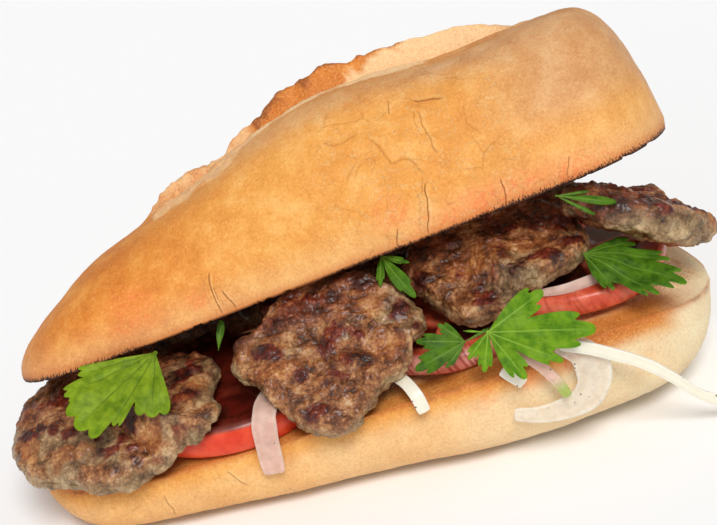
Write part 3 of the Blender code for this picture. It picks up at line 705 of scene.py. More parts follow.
def crack_values(flat, cracks):
    """Side and strength of cracks on an unrolled surface: (line, half width, darkness) each.

    The side is the signed distance over the half width, so its zero runs along the crack.
    """
    wander = np.concatenate([flat, np.zeros_like(flat[..., :1])], -1)
    wander = flat + 0.5 * np.stack([noise(wander, 3.0, n) for n in (103, 104)], -1)
    side = np.full(flat.shape[:-1], 9.0)
    strength = np.zeros(flat.shape[:-1])
    for line, half_width, darkness in cracks:
        signed, along = across_line(wander, np.array(line, float))
        nearer = np.abs(signed / half_width) < np.abs(side)
        taper = smoothstep(along / 0.12) * rising(along, 1, 0.88)
        reach = smoothstep(3.5 - np.abs(signed)) * darkness * taper
        side = np.where(nearer, signed / half_width, side)
        strength = np.where(nearer, reach, strength)
    return {"crack_side": np.clip(side, -9.0, 9.0), "crack": strength}


def bread_top(finish):
    """Top half: a flat cut face under a dome, laid back on the filling.

    Half width = width * cos(t) ** 0.8 and height = crown * sin(t) ** 0.8 over the face.
    """
    stations, dome_points, face_points = TOP_GRID
    x = loaf_stations(stations)
    width, crown = crown_sizes(x)
    share = np.linspace(0.0, 1.0, dome_points)
    t = math.pi * (share - 0.06 * np.sin(2 * math.pi * share))
    dome_y, dome_z = crown_section(t)
    across = np.linspace(1.0, -1.0, face_points + 2)[1:-1]
    side = np.concatenate([dome_y, across])[None, :]
    rise = np.concatenate([dome_z, np.zeros(face_points)])[None, :]
    rings = sections(x, width, side, crown[:, None] * rise)
    relief = crown_relief(x[:, None], side) + 1.1 * noise(rings, 30.0, 5)
    rings[..., 2] += np.where(rise > 0.3, relief * rising(rise, 0.3, 0.6), 0.0)
    is_crust = smoothstep(rise / 0.015)
    step = np.linalg.norm(np.diff(rings, axis=1, prepend=rings[:, :1]), axis=-1)
    unrolled = np.stack([rings[..., 0], np.cumsum(step, axis=1)], -1)
    cracks = []
    for places, *rest in CRACKS:
        line = []
        for place, angle in places:
            row = unrolled[np.searchsorted(x, place), :dome_points]
            line.append((place, np.interp(math.radians(angle), t, row[:, 1])))
        cracks.append((line, *rest))
    values = top_values(rings, x[:, None], side, is_crust)
    values.update(crack_values(unrolled, cracks))
    depth = values.pop("relief")
    rings = rings - outward(rings) * depth[..., None]
    rings = placed_on_filling(rings)
    ends = [
        placed_on_filling(np.array([s * (LOAF_HALF_LENGTH + 0.5), 0.0, 3.0])) for s in (-1, 1)
    ]
    rings = rings[:, ::-1]
    values = {key: np.broadcast_to(value, depth.shape)[:, ::-1] for key, value in values.items()}
    return closed_piece("bread_top", finish, rings, ends, values)


def top_values(points, x, side, is_crust):
    """Where the top half is burst, browned, blushed, crazed and burnt, where painted sheen and painted
    shade lie on it, and its fine relief.
    """
    s = side - slash_line(x)
    height = points[..., 2]
    along = rising(x, -16, -10) * rising(x, SLASH_END_X, SLASH_END_X - 30)
    ragged = 0.03 * layered(points, 5.0, 89)
    behind = rising(s, 0.4, 0.3)
    opened = along * smoothstep((s - spline(x, LIP_X, LIP_SIDE) + ragged) / 0.04) * behind
    patch_edge = spline(x, PATCH_X, PATCH_SIDE) + 2.0 * ragged
    patch = smoothstep((s - patch_edge) / 0.06) * behind * rising(x, -60, -56)
    patch = patch * rising(x, -11, -16) * is_crust
    band = spline(x, (18.0, 24.0, 31.0, 39.5, 48.0, 56.0), (0.0, 0.165, 0.195, 0.225, 0.27, 0.6))
    peach = opened * smoothstep((band + 0.4 * ragged - s) / 0.02)
    ear = opened * (1.0 - peach) * (1.0 - patch)
    patchy = 0.5 + 0.5 * layered(points, 16.0, 91)
    blush = np.zeros_like(height)
    for place, half_length, half_height, strength in BLUSHES:
        off = (points - crown_point(*place)) / [half_length, 30.0, half_height]
        blush = np.maximum(blush, strength * smoothstep(1.25 - np.linalg.norm(off, axis=-1)))
    wrinkles = layered(points + 2.0 * noise(points, 6.0, 94)[..., None], 5.5, 95)
    crumbs = layered(points, 2.6, 106)
    relief = is_crust * (0.22 * noise(points, 8.0, 97) + 0.08 * layered(points, 2.2, 99, 2))
    relief = relief + ear * 1.3 * wrinkles + (0.4 * peach + patch) * (0.6 * wrinkles + 0.6 * crumbs)
    crumb = 1.0 - is_crust
    relief = relief - crumb * 0.8 * smoothstep(layered(points, 3.2, 73) * 1.5 - 0.2)
    front = smoothstep(-side / 0.3)
    low = rising(height, 16, 2) * front
    ear_top = rising(s, 0.185, 0.235)
    gold = rising(x, -75, 0) * rising(side, 0.2, -0.4) * (0.6 + 0.5 * patchy)
    # Painted sheen: a duller pinkish tan over the upper and back crown, weaker near the slash, none on
    # the burst patch or the ear; it also covers the right top.
    dusk = smoothstep((0.75 + 0.25 * rising(x, 60, 90) + side) / 0.5)
    dusk = dusk * rising(x, -60, 0) * (0.65 + 0.4 * patchy) * (1.0 - patch)
    upper = rising(height, 12, 30) * rising(x, 60, 95)
    dusk = np.maximum(dusk * (1.0 - 0.6 * rising(s, -0.55, -0.25)), 0.7 * upper)
    singe = 0.1 + 0.9 * rising(x, -8, 12) + 0.7 * rising(x, 42, 67)
    singe = singe + 1.5 * rising(x, -62, -72)
    inside = (1.0 - np.abs(side)) * TOP_HALF_WIDTH
    torn = patch * (0.16 + 0.5 * rising(wrinkles, 0.2, 0.6))
    shares = {
        "gold": gold,
        "cream": 0.06 * front * rising(x, 40, 110) + 0.16 * low,
        "peach": peach + 0.8 * patch,
        "brown": ear * (0.58 + 0.5 * wrinkles + 0.5 * ear_top) + torn
        + 0.7 * crumb * smoothstep(1.3 - inside / 9.0),
        "blush": 0.85 * blush * is_crust,
        "crumb": 0.15 * peach + 0.1 * patch + crumb * rising(inside, 4, 10),
        # Toasting with painted shade: the top half's cut face is darkened at its edge; the crown's right
        # top is darkened a little.
        "scorch": 0.6 * crumb * smoothstep(1.0 - inside / 2.0) + 0.08 * upper * is_crust,
        "dusk": dusk * (1.0 - ear) * is_crust,
        "crazed": is_crust * rising(x, -5, 20) * rising(x, 95, 70) * (1.0 - opened),
    }
    return {
        **{key: np.clip(share, 0.0, 1.0) for key, share in shares.items()},
        "edge": np.clip(height * is_crust + inside * (1.0 - is_crust), 0.0, 9.0),
        "singe": singe,
        "relief": relief,
    }


def placed_on_filling(points):
    """From the top half's own frame (cut face at z = 0, length on x) to the sandwich's frame."""
    along = unit(np.array([1.0, 0.0, TOP_FACE_RISE]))
    up = unit(np.array([-TOP_FACE_RISE, TOP_FACE_DROP, 1.0]))
    across = np.cross(up, along)
    origin = np.array([TOP_CENTRE_X, TOP_CENTRE_Y, top_face(TOP_CENTRE_X, TOP_CENTRE_Y)])
    return origin + points @ np.array([along, across, up])


# ---------------------------------------------------------------- filling that others lie on
def over_disc(points, centre, radius_x, radius_y, top):
    """Height the surface above must keep: the disc's top, falling steeply past its edge."""
    dx = (points[:, 0] - centre[0]) / radius_x
    dy = (points[:, 1] - centre[1]) / radius_y
    past = (np.hypot(dx, dy) - 1.0) * (radius_x + radius_y) / 2 - 2.0
    return top - 2.5 * np.maximum(past, 0.0)


def over_bottom(points):
    """Height the filling must keep over the bottom half and round its rim."""
    past = np.abs(points[:, 1]) - bottom_half_width(points[:, 0] - BOTTOM_CENTRE_X) - 1.0
    return bottom_face(points[:, 0] - BOTTOM_CENTRE_X) + GAP - 2.5 * np.maximum(past, 0.0)


def tomato_top(name):
    """The floor made by one tomato slice, as a function of points."""
    centre, radius_x, radius_y, thickness, _ = TOMATOES[name]
    top = centre[2] + thickness / 2 + GAP
    return lambda points: over_disc(points, centre, radius_x, radius_y, top)


# ---------------------------------------------------------------- meat
def disc(radius_x, radius_y, thickness, grid, corner=0.14, outline=(1.0,), wobble=0.03, seed=1):
    """Rings of a disc in its own frame, from the middle of its top to that of its underside.

    The faces are half * (1 - 0.16 r r) high and the edge is a half circle of the corner's size.
    Outline holds the disc's reach at even steps round from +X.
    """
    top_rows, edge_rows, back_rows, around = grid
    half = thickness / 2
    top_r = np.linspace(0.02, 0.86, top_rows)
    back_r = np.linspace(0.86, 0.03, back_rows)
    turn = np.linspace(1.35, -1.35, edge_rows)
    shares = np.concatenate([top_r, 1.0 - corner + corner * np.cos(turn), back_r])
    heights = np.concatenate(
        [half * (1 - 0.16 * top_r**2), 0.9 * half * np.sin(turn), -half * (1 - 0.16 * back_r**2)]
    )
    angle = np.linspace(0.0, 2 * math.pi, around, endpoint=False)
    turns = np.arange(-1, len(outline) + 2) * 2 * math.pi / len(outline)
    shape = spline(angle, turns, np.take(outline, np.arange(-1, len(outline) + 2), mode="wrap"))
    edge = np.stack([np.cos(angle), np.sin(angle), np.full(around, 0.5)], -1)
    reach = shape + wobble * (noise(edge, 0.55, seed) + 0.5 * noise(edge, 0.3, seed + 1))
    rings = np.empty((len(shares), around, 3))
    rings[..., 0] = radius_x * shares[:, None] * (reach * np.cos(angle))[None, :]
    rings[..., 1] = radius_y * shares[:, None] * (reach * np.sin(angle))[None, :]
    rings[..., 2] = heights[:, None]
    return rings[:, ::-1], np.broadcast_to(shares[:, None], rings.shape[:2])


def meat_relief(points, seed):
    """Lumps and grains of mince, 9 to 1 mm across, and how deep in its creases each point is, where the
    meat is painted darker as shade.

    Lumps are smooth fields; grains are sizes of smooth fields, round on top with creases between.
    """
    warped = points + 0.8 * np.stack([noise(points, 4.0, seed + n) for n in (60, 61, 62)], -1)
    lumps = noise(points, 9.0, seed + 63)
    large, middle = np.abs(noise(warped, 5.0, seed + 64)), np.abs(noise(warped, 2.6, seed + 65))
    small = np.abs(noise(points, 1.4, seed + 66))
    height = 1.2 * lumps + 1.5 * large + 0.9 * middle + 0.45 * small - 0.9
    broken = rising(noise(points, 7.0, seed + 67), -0.25, 0.15)
    crease = smoothstep(1.0 - large / 0.10) * broken + 0.5 * smoothstep(1.0 - middle / 0.12)
    return height, crease


def spotted(local, spots, seed):
    """1 in each spot, (x, y, half length, half width), fading at its ragged outline to 0."""
    ragged = 0.5 * layered(local, 4.5, seed)
    share = np.zeros(len(local))
    for x, y, half_length, half_width in spots:
        away = np.hypot((local[:, 0] - x) / half_length, (local[:, 1] - y) / half_width)
        share = np.maximum(share, smoothstep((1.15 + ragged - away) / 0.4))
    return share * smoothstep(local[:, 2] / 2.0 + 1.0)


def patty(name, finish, centre, radius_x, radius_y, thickness=PATTY_THICKNESS, outline=(1.0,),
          turn=(0, 0, 0), sag=(0.0, 0.0), thinner=0.0, floors=(), seed=1, grid=PATTY_GRID):
    """A flattened meatball: an uneven disc of mince that sags at its rim and lies on its floors.

    The sag is sag * (distance past the middle / radius) ** 2 along the disc's own normal, for
    the front and the left side; then each column is lifted so its underside clears the floors.
    thinner is the share of its thickness that it loses towards its right side.
    """
    rings, shares = disc(radius_x, radius_y, thickness, grid, outline=outline, seed=seed)
    poles = np.array([[0.0, 0.0, thickness / 2], [0.0, 0.0, -thickness / 2]])
    local = np.concatenate([rings.reshape(-1, 3), poles])
    share = np.concatenate([shares.ravel(), [0.0, 0.0]])
    half = thickness / 2 * (1.0 - thinner * smoothstep(local[:, 0] / radius_x + 0.6))
    local[:, 2] *= half / (thickness / 2)
    away = unit(local * [0.35, 0.35, 0.0] + [0.0, 0.0, 6.0] * np.sign(local[:, 2:]))
    points = local + away * (1.3 * noise(local, 12.0, seed + 20))[:, None]
    drop = sag[0] * np.clip(-points[:, 1] / radius_y, 0.0, None) ** 2
    drop = drop + sag[1] * np.clip(-points[:, 0] / radius_x, 0.0, None) ** 2
    sagged = drop[:, None] * [0.0, 0.0, 1.0]
    points, middle = (
        turned(points * flat - sagged, *turn) + centre for flat in (1.0, [1.0, 1.0, 0.0])
    )
    lean = math.cos(math.radians(turn[0])) * math.cos(math.radians(turn[1]))
    for floor in floors:
        under = middle[:, 2] - half / lean
        lift = LIFT_BLEND * np.logaddexp(0.0, (floor(points) + 0.4 - under) / LIFT_BLEND)
        points[:, 2] += lift
        middle[:, 2] += lift
    lumps, crease = meat_relief(points, seed)
    push = outward(points[:-2].reshape(rings.shape)).reshape(-1, 3)
    points[:-2] += push * lumps[:-2, None]
    for floor in floors:
        points[:, 2] = np.maximum(points[:, 2], floor(points))
    points[:, 2] = np.minimum(points[:, 2], top_face(points[:, 0], points[:, 1]) - GAP)
    side = rising(share, 0.8, 0.94) * smoothstep(0.8 - local[:, 2] / half)
    patches = layered(points, 8.0, seed + 70)
    olive = rising(layered(points, 10.0, seed + 80), 0.1, 0.6)
    spots = spotted(local, SEARS.get(name, ()), seed + 71)
    sear = np.maximum(spots, rising(patches + 0.3 * lumps, 0.55, 0.95)) * (1.0 - 0.8 * side)
    sear = sear * rising(lumps, -1.2, 0)
    # Painted shade: near the bread's cut face the meat takes the dark seared colour and less of its
    # toasted tint, reaching farther down at the right.
    reach = 17.0 + 6.0 * rising(points[:, 0], 60, 75)
    painted_shade_under_bread = smoothstep((points[:, 2] - top_face(points[:, 0], points[:, 1]) + reach) / 10.0)
    sear = np.maximum(sear, 0.85 * painted_shade_under_bread * smoothstep(patches + 1.1))
    # Toasted spots, and orange-brown on the highest lumps as a painted highlight.
    tan = np.maximum(spotted(local, TANS.get(name, ()), seed + 72), 0.7 * rising(lumps, 0.5, 1.3))
    values = {
        "side": np.clip(0.85 * side + 0.7 * olive, 0.0, 1.0),
        "sear": sear,
        "tan": 0.65 * tan * (1.0 - side) * (1.0 - 0.7 * painted_shade_under_bread),
        # Painted shade: the creases between lumps are darkened.
        "crease": np.clip(0.45 * crease, 0.0, 1.0),
    }
    faces = ring_faces(*rings.shape[:2])
    return make_piece(name, finish, points, faces, values)


def patties(finish):
    """The four meatballs that lean out at the front, and the row behind that they rest on."""
    on_1, on_2, on_3 = (tomato_top(name) for name in TOMATOES)
    plain = (30, 18, 12, 160)
    patty("patty_1", finish, (-82.5, -15.5, 37.0), 38.0, 35.0, thickness=14.5, turn=(5.0, -7.0, 0.0),
          outline=(0.89, 0.8, 0.64, 0.56, 0.6, 0.72, 0.85, 0.97, 1.05, 1.08, 1.1, 1.08,
                   1.08, 1.05, 1.03, 1.02, 1.02, 1.04, 1.04, 1.02, 1.1, 1.31, 0.99, 0.89),
          sag=(6.0, 2.0), thinner=0.35, floors=(over_bottom, on_1), seed=3)
    patty("patty_2", finish, (-7.5, -28.5, 50.0), 34.5, 34.5, turn=(35.0, 0.0, 0.0),
          outline=(0.97, 0.86, 0.82, 0.77, 0.7, 0.72, 0.92, 0.86, 0.8, 0.9, 0.76, 0.87),
          sag=(2.0, 0.0), floors=(over_bottom, on_1, on_2), seed=5)
    patty("patty_3", finish, (53.5, -8.0, 57.6), 31.0, 31.0, turn=(27.0, 0.0, 0.0),
          outline=(0.98, 0.85, 0.75, 0.8, 0.95, 1.0, 1.0, 0.9, 0.98, 0.9, 0.86, 0.97),
          sag=(1.0, 0.0), floors=(over_bottom, on_2, on_3), seed=7)
    patty("patty_4", finish, (101.0, -4.0, 61.6), 30.0, 23.0, turn=(-19.0, 28.0, 0.0),
          outline=(0.9, 0.88, 0.8, 0.74, 0.76, 0.8, 0.85, 0.9, 1.0, 1.0, 0.96, 0.9),
          floors=(on_3,), seed=9)
    patty("patty_back_left", finish, (-62.0, 34.0, 35.5), 28.0, 18.0, thickness=16.0,
          turn=(-24.0, -6.0, 0.0), floors=(over_bottom, on_1), seed=11, grid=plain)
    patty("patty_back_middle", finish, (-3.0, 20.0, 44.5), 31.0, 24.0, thickness=11.0,
          floors=(on_1, on_2), seed=13, grid=plain)
    patty("patty_back_right", finish, (55.0, 31.0, 55.0), 29.0, 18.5, thickness=9.5,
          floors=(on_3,), seed=15, grid=plain)


# ---------------------------------------------------------------- tomato
def tomato(name, finish):
    """A tomato slice: a thick disc with a rounded skin edge, lying along the bottom half.

    Its cut face has a wall of flesh, five ribs and sunk wet chambers between them.
    """
    centre, radius_x, radius_y, thickness, seed = TOMATOES[name]
    rings, shares = disc(radius_x, radius_y, thickness, TOMATO_GRID, corner=0.07, wobble=0.02, seed=seed)
    angle = np.arctan2(rings[..., 1], rings[..., 0])
    above = rings[..., 2] / thickness
    top = rising(above, 0.3, 0.42) if name == "tomato_1" else smoothstep(above / 0.3)
    ribs = np.abs(np.sin(2.5 * angle + seed))
    chamber = rising(ribs, 0.35, 0.55) * rising(shares, 0.78, 0.7)
    chamber = chamber * rising(shares, 0.25, 0.35) * top
    wall = rising(shares, 0.88, 0.93)
    low = rising(above, -0.3, -0.4)
    skin = wall * ((1.0 - top) if name == "tomato_1" else low)
    slanted = angle * 40.0 + 0.5 * rings[..., 2]
    fine = np.stack([slanted, 3.0 * shares + 0.12 * rings[..., 2], np.full_like(angle, seed)], -1)
    streak = rising(noise(fine, 0.9, seed + 50), -0.05, 0.3) * (1.0 - skin)
    streak = streak * rising(shares, 0.6, 0.9) * STREAKS[name]
    pale = (1.0 - skin) * wall * (0.7 if name == "tomato_2" else 0.1)
    # Painted shade: the first slice's whole top is darkened with the gel colour.
    dark = top * (0.95 if name == "tomato_1" else 0.0)
    gel = np.maximum(chamber, dark)
    values = {"skin": skin, "gel": gel, "streak": streak, "pale": pale}
    rings = rings - [0.0, 0.0, 0.7] * chamber[..., None]
    points = np.concatenate([rings.reshape(-1, 3), [[0, 0, thickness / 2], [0, 0, -thickness / 2]]])
    points = points + centre
    if name == "tomato_3":
        points[:, 2] = np.maximum(points[:, 2], tomato_top("tomato_2")(points))
    points[:, 2] = np.maximum(points[:, 2], over_bottom(points))
    rings = points[:-2].reshape(rings.shape)
    return closed_piece(name, finish, rings, points[-2:], values)


# ---------------------------------------------------------------- onion
def smooth_path(path, count):
    """Points along a smooth line through the given ones, at even steps of their index."""
    path = np.array(path, float)
    knots = np.arange(len(path), dtype=float)
    t = np.linspace(0.0, knots[-1], count)
    return np.stack([spline(t, knots, path[:, axis]) for axis in range(3)], -1)


def strip(name, finish, path, widths, thickness, facing, count=70, taper=0.75, green=0.0):
    """An onion shred: a flat band along the path, its broad side turned to the facing direction.

    Each section is a rounded rectangle, |x|^4 + |y|^4 = 1. The width runs through the widths
    given, and the ends narrow to taper times it.
    """
    line = smooth_path(path, count)
    along = unit(np.gradient(line, axis=0))
    side = unit(np.cross(along, facing))
    normal = np.cross(side, along)
    t = np.linspace(-1.0, 1.0, count)
    width = spline(t, np.linspace(-1.0, 1.0, len(widths)), widths)
    half = width / 2 * (taper + (1.0 - taper) * np.sqrt(1.0 - t**10))
    angle = np.linspace(math.pi, -math.pi, STRIP_POINTS, endpoint=False)
    broad = np.sign(np.cos(angle)) * np.abs(np.cos(angle)) ** 0.6
    thick = np.sign(np.sin(angle)) * np.abs(np.sin(angle)) ** 0.5
    bulk = thickness / 2 * (1.0 + 0.12 * noise(line, 5.0, 7))
    half = half * (1.0 + 0.10 * noise(line, 6.0, 8))
    rings = (
        line[:, None, :]
        + side[:, None, :] * (half[:, None] * broad[None, :])[..., None]
        + normal[:, None, :] * (bulk[:, None] * thick[None, :])[..., None]
    )
    values = {
        "rim": rising(np.abs(broad), 0.6, 1.0),
        "line": 0.5 + 0.5 * noise(broad[:, None] * [9.0, 0.0, 0.0], 1.3, 9),
        "green": green * rising(t, 0.35, 0.85)[:, None],
    }
    ends = (line[0] - along[0] * 0.3, line[-1] + along[-1] * 0.3)
    return closed_piece(name, finish, rings, ends, values)


def onions(pink, white, clear):
    """Shreds that hang over the rim, an arc on the right tomato, and the long strand at the right."""
    front, over_front, over_back = (0.0, -1.0, 0.15), (0.0, -0.6, 0.8), (0.0, 0.6, 0.8)
    strip("onion_1", pink, [(-26.0, -31.0, 41.4), (-29.2, -39.0, 41.0), (-30.9, -45.8, 39.6),
                            (-31.9, -48.4, 34.8), (-32.5, -48.6, 26.3), (-32.7, -48.8, 18.3)],
          (6.6, 7.8, 8.2, 7.8), 1.2, over_front)
    strip("onion_2", white, [(13.5, -37.0, 37.6), (16.4, -42.8, 37.8), (19.0, -47.3, 35.0),
                             (20.4, -48.6, 29.3)], (4.2, 4.2, 4.6), 1.2, over_front)
    strip("onion_3", pink, [(65.2, -26.2, 51.1), (71.5, -27.0, 51.1), (77.3, -26.2, 51.1),
                            (85.3, -23.4, 51.1), (92.6, -18.2, 51.1)],
          (2.8, 3.6, 4.2), 1.3, (0.3, -1.0, 0.6))
    strip("onion_4", clear, [(66.6, -45.5, 42.6), (73.7, -47.6, 38.8), (76.6, -48.0, 33.0),
                             (75.8, -48.4, 26.6), (72.0, -48.8, 22.0), (65.6, -49.0, 20.0),
                             (57.1, -49.2, 19.6), (48.6, -49.2, 21.6)],
          (7.0, 10.5, 11.5, 10.5, 8.0, 6.0, 5.0), 1.0, front, count=110)
    strip("onion_5", white, [(48.4, -46.8, 38.0), (50.7, -47.6, 35.3), (53.8, -48.2, 31.8)], (5.0, 4.6),
          1.1, front)
    strip("onion_6", white, [(68.0, -49.0, 43.6), (74.2, -49.6, 41.4), (80.6, -50.0, 38.4),
                             (92.6, -49.5, 30.8), (101.1, -48.5, 22.5), (107.3, -47.0, 14.8),
                             (114.5, -45.5, 8.6), (121.5, -44.0, 4.2)], (4.6, 3.8, 3.6), 1.3,
          front, count=120)
    strip("onion_7", pink, [(52.0, -46.5, 44.0), (56.5, -49.4, 41.6), (60.7, -50.2, 37.4),
                            (64.3, -50.6, 31.5), (67.0, -50.8, 25.4)], (3.6, 3.4), 1.0, front, green=1.0)
    strip("onion_8", pink, [(-26.0, 41.0, 30.6), (-26.5, 46.0, 30.4), (-27.0, 48.6, 26.0),
                            (-27.3, 49.0, 17.0)], (5.6, 6.2), 1.2, over_back)
    strip("onion_9", white, [(30.0, 27.5, 42.6), (31.0, 38.0, 42.0), (32.0, 46.5, 37.5),
                             (32.6, 48.6, 28.0)], (4.2, 4.8), 1.2, over_back)


# ---------------------------------------------------------------- parsley
def leaf_reach(angle, lobes, power, teeth, depth):
    """Outline of a lobed leaf seen from its node: the longest lobe in each direction, toothed.

    A higher power makes the lobes' ends broader; depth is the teeth's share of a lobe's length.
    Also gives the offset of each direction from its lobe's middle, in degrees.
    """
    reach = np.full(angle.shape, 0.02)
    offset = np.zeros(angle.shape)
    for centre, length, half_width in lobes:
        off = (np.degrees(angle) - centre + 180.0) % 360.0 - 180.0
        lobe = length * np.clip(1.0 - np.abs(off / half_width) ** power, 0.0, 1.0) ** (1.0 / power)
        notch = 1.0 - np.abs(np.cos(math.pi * teeth * off / (2.0 * half_width)))
        lobe = lobe * (1.0 - depth * notch**1.5)
        offset = np.where(lobe > reach, off, offset)
        reach = np.maximum(reach, lobe)
    return reach, offset


def leaf(name, finish, node, tip, facing, lobes, curl=2.0, wave=1.0, seed=1, power=2.2, teeth=4,
         depth=0.17):
    """A parsley leaf: a thin wavy sheet whose lobes fan out from its node.

    The tip gives the direction and length of a lobe at 0 degrees with length 1. The sheet
    bends away from its facing side by curl * (r / length) ** 2, with waves of +-wave. Veins
    run along each lobe and branch off to both sides of it.
    """
    rows, around = LEAF_GRID
    node, tip, facing = (np.array(v, float) for v in (node, tip, facing))
    length = np.linalg.norm(tip - node)
    along = (tip - node) / length
    up = unit(facing - along * (facing @ along))
    side = np.cross(up, along)
    angle = np.linspace(0.0, 2 * math.pi, around, endpoint=False)
    reach, offset = leaf_reach(angle, lobes, power, teeth, depth)
    share = np.linspace(0.06, 1.0, rows)
    share = np.concatenate([share, share[::-1]])[:, None]
    face = np.repeat([1.0, -1.0], rows)[:, None]
    radius = length * share * reach
    u, v = radius * np.cos(angle), radius * np.sin(angle)
    flat = np.stack([u, v, np.zeros_like(u)], -1)
    across = radius * np.sin(np.radians(offset))
    forward = radius * np.cos(np.radians(offset))
    branch = (forward - 1.5 * np.abs(across)) / 3.4
    side_vein = smoothstep(1.0 - np.abs(branch - np.round(branch)) / 0.09) * smoothstep(radius / 6.0)
    main_vein = smoothstep(1.0 - np.abs(across) / 0.4) * rising(share, 1.05, 0.55)
    bend = wave * noise(flat, 9.0, seed) - curl * radius**2 / length**2
    bend = bend + 0.35 * noise(flat, 3.0, seed + 1)
    blade = 0.25 * smoothstep(np.abs(across) / 2.2) - 0.12 * side_vein
    edge_thin = 0.15 + 0.85 * rising(share, 1, 0.88)
    w = bend + blade + face * LEAF_THICKNESS / 2 * edge_thin
    rings = node + u[..., None] * along + v[..., None] * side + w[..., None] * up
    middle = wave * float(noise(np.zeros((1, 3)), 9.0, seed)[0])
    poles = [node + up * (middle + LEAF_THICKNESS * h) for h in (0.5, -0.5)]
    values = {
        "vein": np.clip(0.7 * main_vein + 0.25 * side_vein, 0.0, 1.0),
        "edge": 0.4 * rising(share, 0.95, 1),
    }
    values = {key: value[:, ::-1] for key, value in values.items()}
    return closed_piece(name, finish, rings[:, ::-1], poles, values)


def parsley(light, green, dark):
    """Leaves tucked under the top half, between the meatballs and over the rim."""
    to_front = (-0.1, -0.9, 0.45)
    leaf("parsley_1", light, (-63.3, -27.5, 60.0), (-91.5, -48.0, 51.2), (0.05, -0.6, 0.8),
         ((0, 1.0, 17), (-20, 0.92, 8), (-31, 0.74, 8), (18, 0.8, 7), (44, 0.64, 20)), power=5.0,
         teeth=3, depth=0.07, seed=31)
    leaf("parsley_2", dark, (16.2, -14.5, 71.0), (24.0, -26.5, 61.5), to_front,
         ((0, 1.12, 19), (-38, 0.62, 20), (34, 0.62, 16)), curl=1.0, teeth=3, power=1.6, seed=33)
    leaf("parsley_3", dark, (38.2, -41.0, 47.4), (21.5, -45.5, 43.8), to_front,
         ((0, 1.05, 20), (-30, 0.9, 18), (-62, 0.6, 20), (24, 0.6, 14), (180, 0.5, 8)), curl=1.0,
         teeth=3, seed=35)
    leaf("parsley_4", green, (46.4, -48.0, 53.0), (80.0, -52.5, 48.5), to_front,
         ((0, 1.0, 19), (35, 0.64, 21), (-23, 0.75, 13), (-53, 0.56, 20), (-98, 0.38, 20),
          (-128, 0.32, 18), (176, 0.24, 5)), curl=0.0, teeth=3, seed=37)
    leaf("parsley_5", dark, (81.5, -20.5, 59.0), (112.0, -36.0, 50.4), (0.0, -0.35, 0.94),
         ((0, 1.0, 16), (-16, 0.85, 13), (16, 0.8, 14), (-36, 0.5, 18), (34, 0.5, 18)), seed=39)
    leaf("parsley_6", dark, (77.0, -22.5, 82.6), (95.0, -27.0, 78.0), to_front,
         ((0, 1.0, 8), (-20, 0.72, 6), (14, 0.55, 6)), curl=3.0, teeth=2, depth=0.05, seed=41)
    # Its dark colours stand partly for the shade it lies in under the top half: painted shade.
    leaf("parsley_7", dark, (-44.5, -18.0, 51.5), (-41.5, -15.0, 60.5), to_front, ((0, 1.0, 15),),
         curl=1.0, teeth=2, depth=0.05, seed=43)
    leaf("parsley_8", green, (14.0, 46.5, 46.0), (-6.0, 51.0, 37.0), (0.0, 0.9, 0.45),
         ((0, 1.0, 16), (26, 0.8, 14), (-26, 0.8, 14), (55, 0.55, 16), (-55, 0.55, 16)), seed=45)


# ---------------------------------------------------------------- floor, light and camera
def pale_floor():
    """A plain floor disc under the sandwich, wide enough for every view."""
    bpy.ops.mesh.primitive_circle_add(vertices=96, radius=FLOOR_RADIUS, fill_type="NGON")
    floor = bpy.context.object
    floor.name = "floor"
    made, *_ = blank("floor_paint", (), {}, {"Roughness": 0.9, "Base Color": "FAFAFA"})
    floor.data.materials.append(made)


def sun_light(name, towards, width, strength):
    """An even soft light from the direction towards, width degrees across."""
    light = bpy.data.lights.new(name, "SUN")
    light.angle = math.radians(width)
    light.energy = strength
    lamp = bpy.data.objects.new(name, light)
    lamp.rotation_euler = Vector(towards).to_track_quat("Z", "Y").to_euler()
    bpy.context.scene.collection.objects.link(lamp)


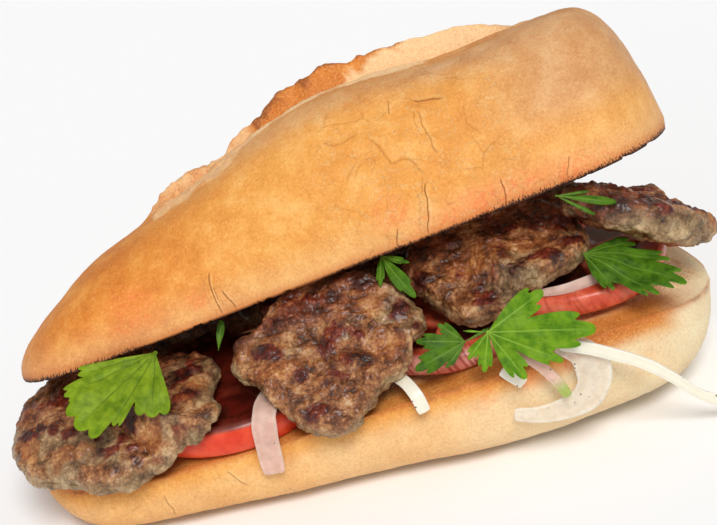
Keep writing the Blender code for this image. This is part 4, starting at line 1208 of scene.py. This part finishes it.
def studio():
    """White surroundings, an even soft light over the front right and a weak one at the left."""
    world = bpy.data.worlds.new("studio")
    bpy.context.scene.world = world
    world.use_nodes = True
    background = world.node_tree.nodes["Background"]
    background.inputs["Color"].default_value = (1.0, 1.0, 1.0, 1.0)
    background.inputs["Strength"].default_value = 0.44
    sun_light("key", towards=(0.18, -0.62, 0.76), width=24.0, strength=2.25)
    sun_light("fill", towards=(-0.6, -0.75, 0.12), width=40.0, strength=0.45)
    bpy.context.scene.view_settings.view_transform = "Standard"


def camera():
    """The viewer: 6 degrees to the right, 26 above, turned 15 degrees about the line of sight."""
    azimuth, elevation, roll = (math.radians(v) for v in (6.0, 26.0, 15.0))
    distance = 0.677
    target = np.array([7.0, 0.0, 63.4]) * MM
    cos_e, sin_e = math.cos(elevation), math.sin(elevation)
    back = np.array([math.sin(azimuth) * cos_e, -math.cos(azimuth) * cos_e, sin_e])
    right = np.array([math.cos(azimuth), math.sin(azimuth), 0.0])
    up = np.array([-math.sin(azimuth) * sin_e, math.cos(azimuth) * sin_e, cos_e])
    rolled_right = math.cos(roll) * right - math.sin(roll) * up
    rolled_up = math.sin(roll) * right + math.cos(roll) * up
    place = target + back * distance
    data = bpy.data.cameras.new("camera")
    data.lens = 100.0
    data.sensor_width = 36.0
    viewer = bpy.data.objects.new("camera", data)
    axes = np.eye(4)
    axes[:3, 0], axes[:3, 1], axes[:3, 2], axes[:3, 3] = rolled_right, rolled_up, back, place
    viewer.matrix_world = Matrix(axes.tolist())
    bpy.context.scene.collection.objects.link(viewer)
    bpy.context.scene.camera = viewer


# ---------------------------------------------------------------- build
crust = baked_crust()
bread_bottom(crust)
bread_top(crust)
patties(grilled_meat())
flesh = tomato_flesh()
for slice_name in TOMATOES:
    tomato(slice_name, flesh)
onions(
    onion_shred("pink_onion", "E4BEAE", "E8CABA", 0.4),
    onion_shred("white_onion", "EDE6D2", "F4F0E2", 0.12),
    onion_shred("clear_onion", "EADCC8", "F2EADC", 0.55),
)
parsley(
    # The light leaves' darker vein colour is painted shade in the vein grooves.
    parsley_leaf("light_parsley", "58740A", "80981C", "42580A"),
    parsley_leaf("green_parsley", "447008", "6E9418", "8CAE40"),
    parsley_leaf("dark_parsley", "2A4C06", "4E7414", "6C8C34"),
)
pale_floor()
studio()
camera()
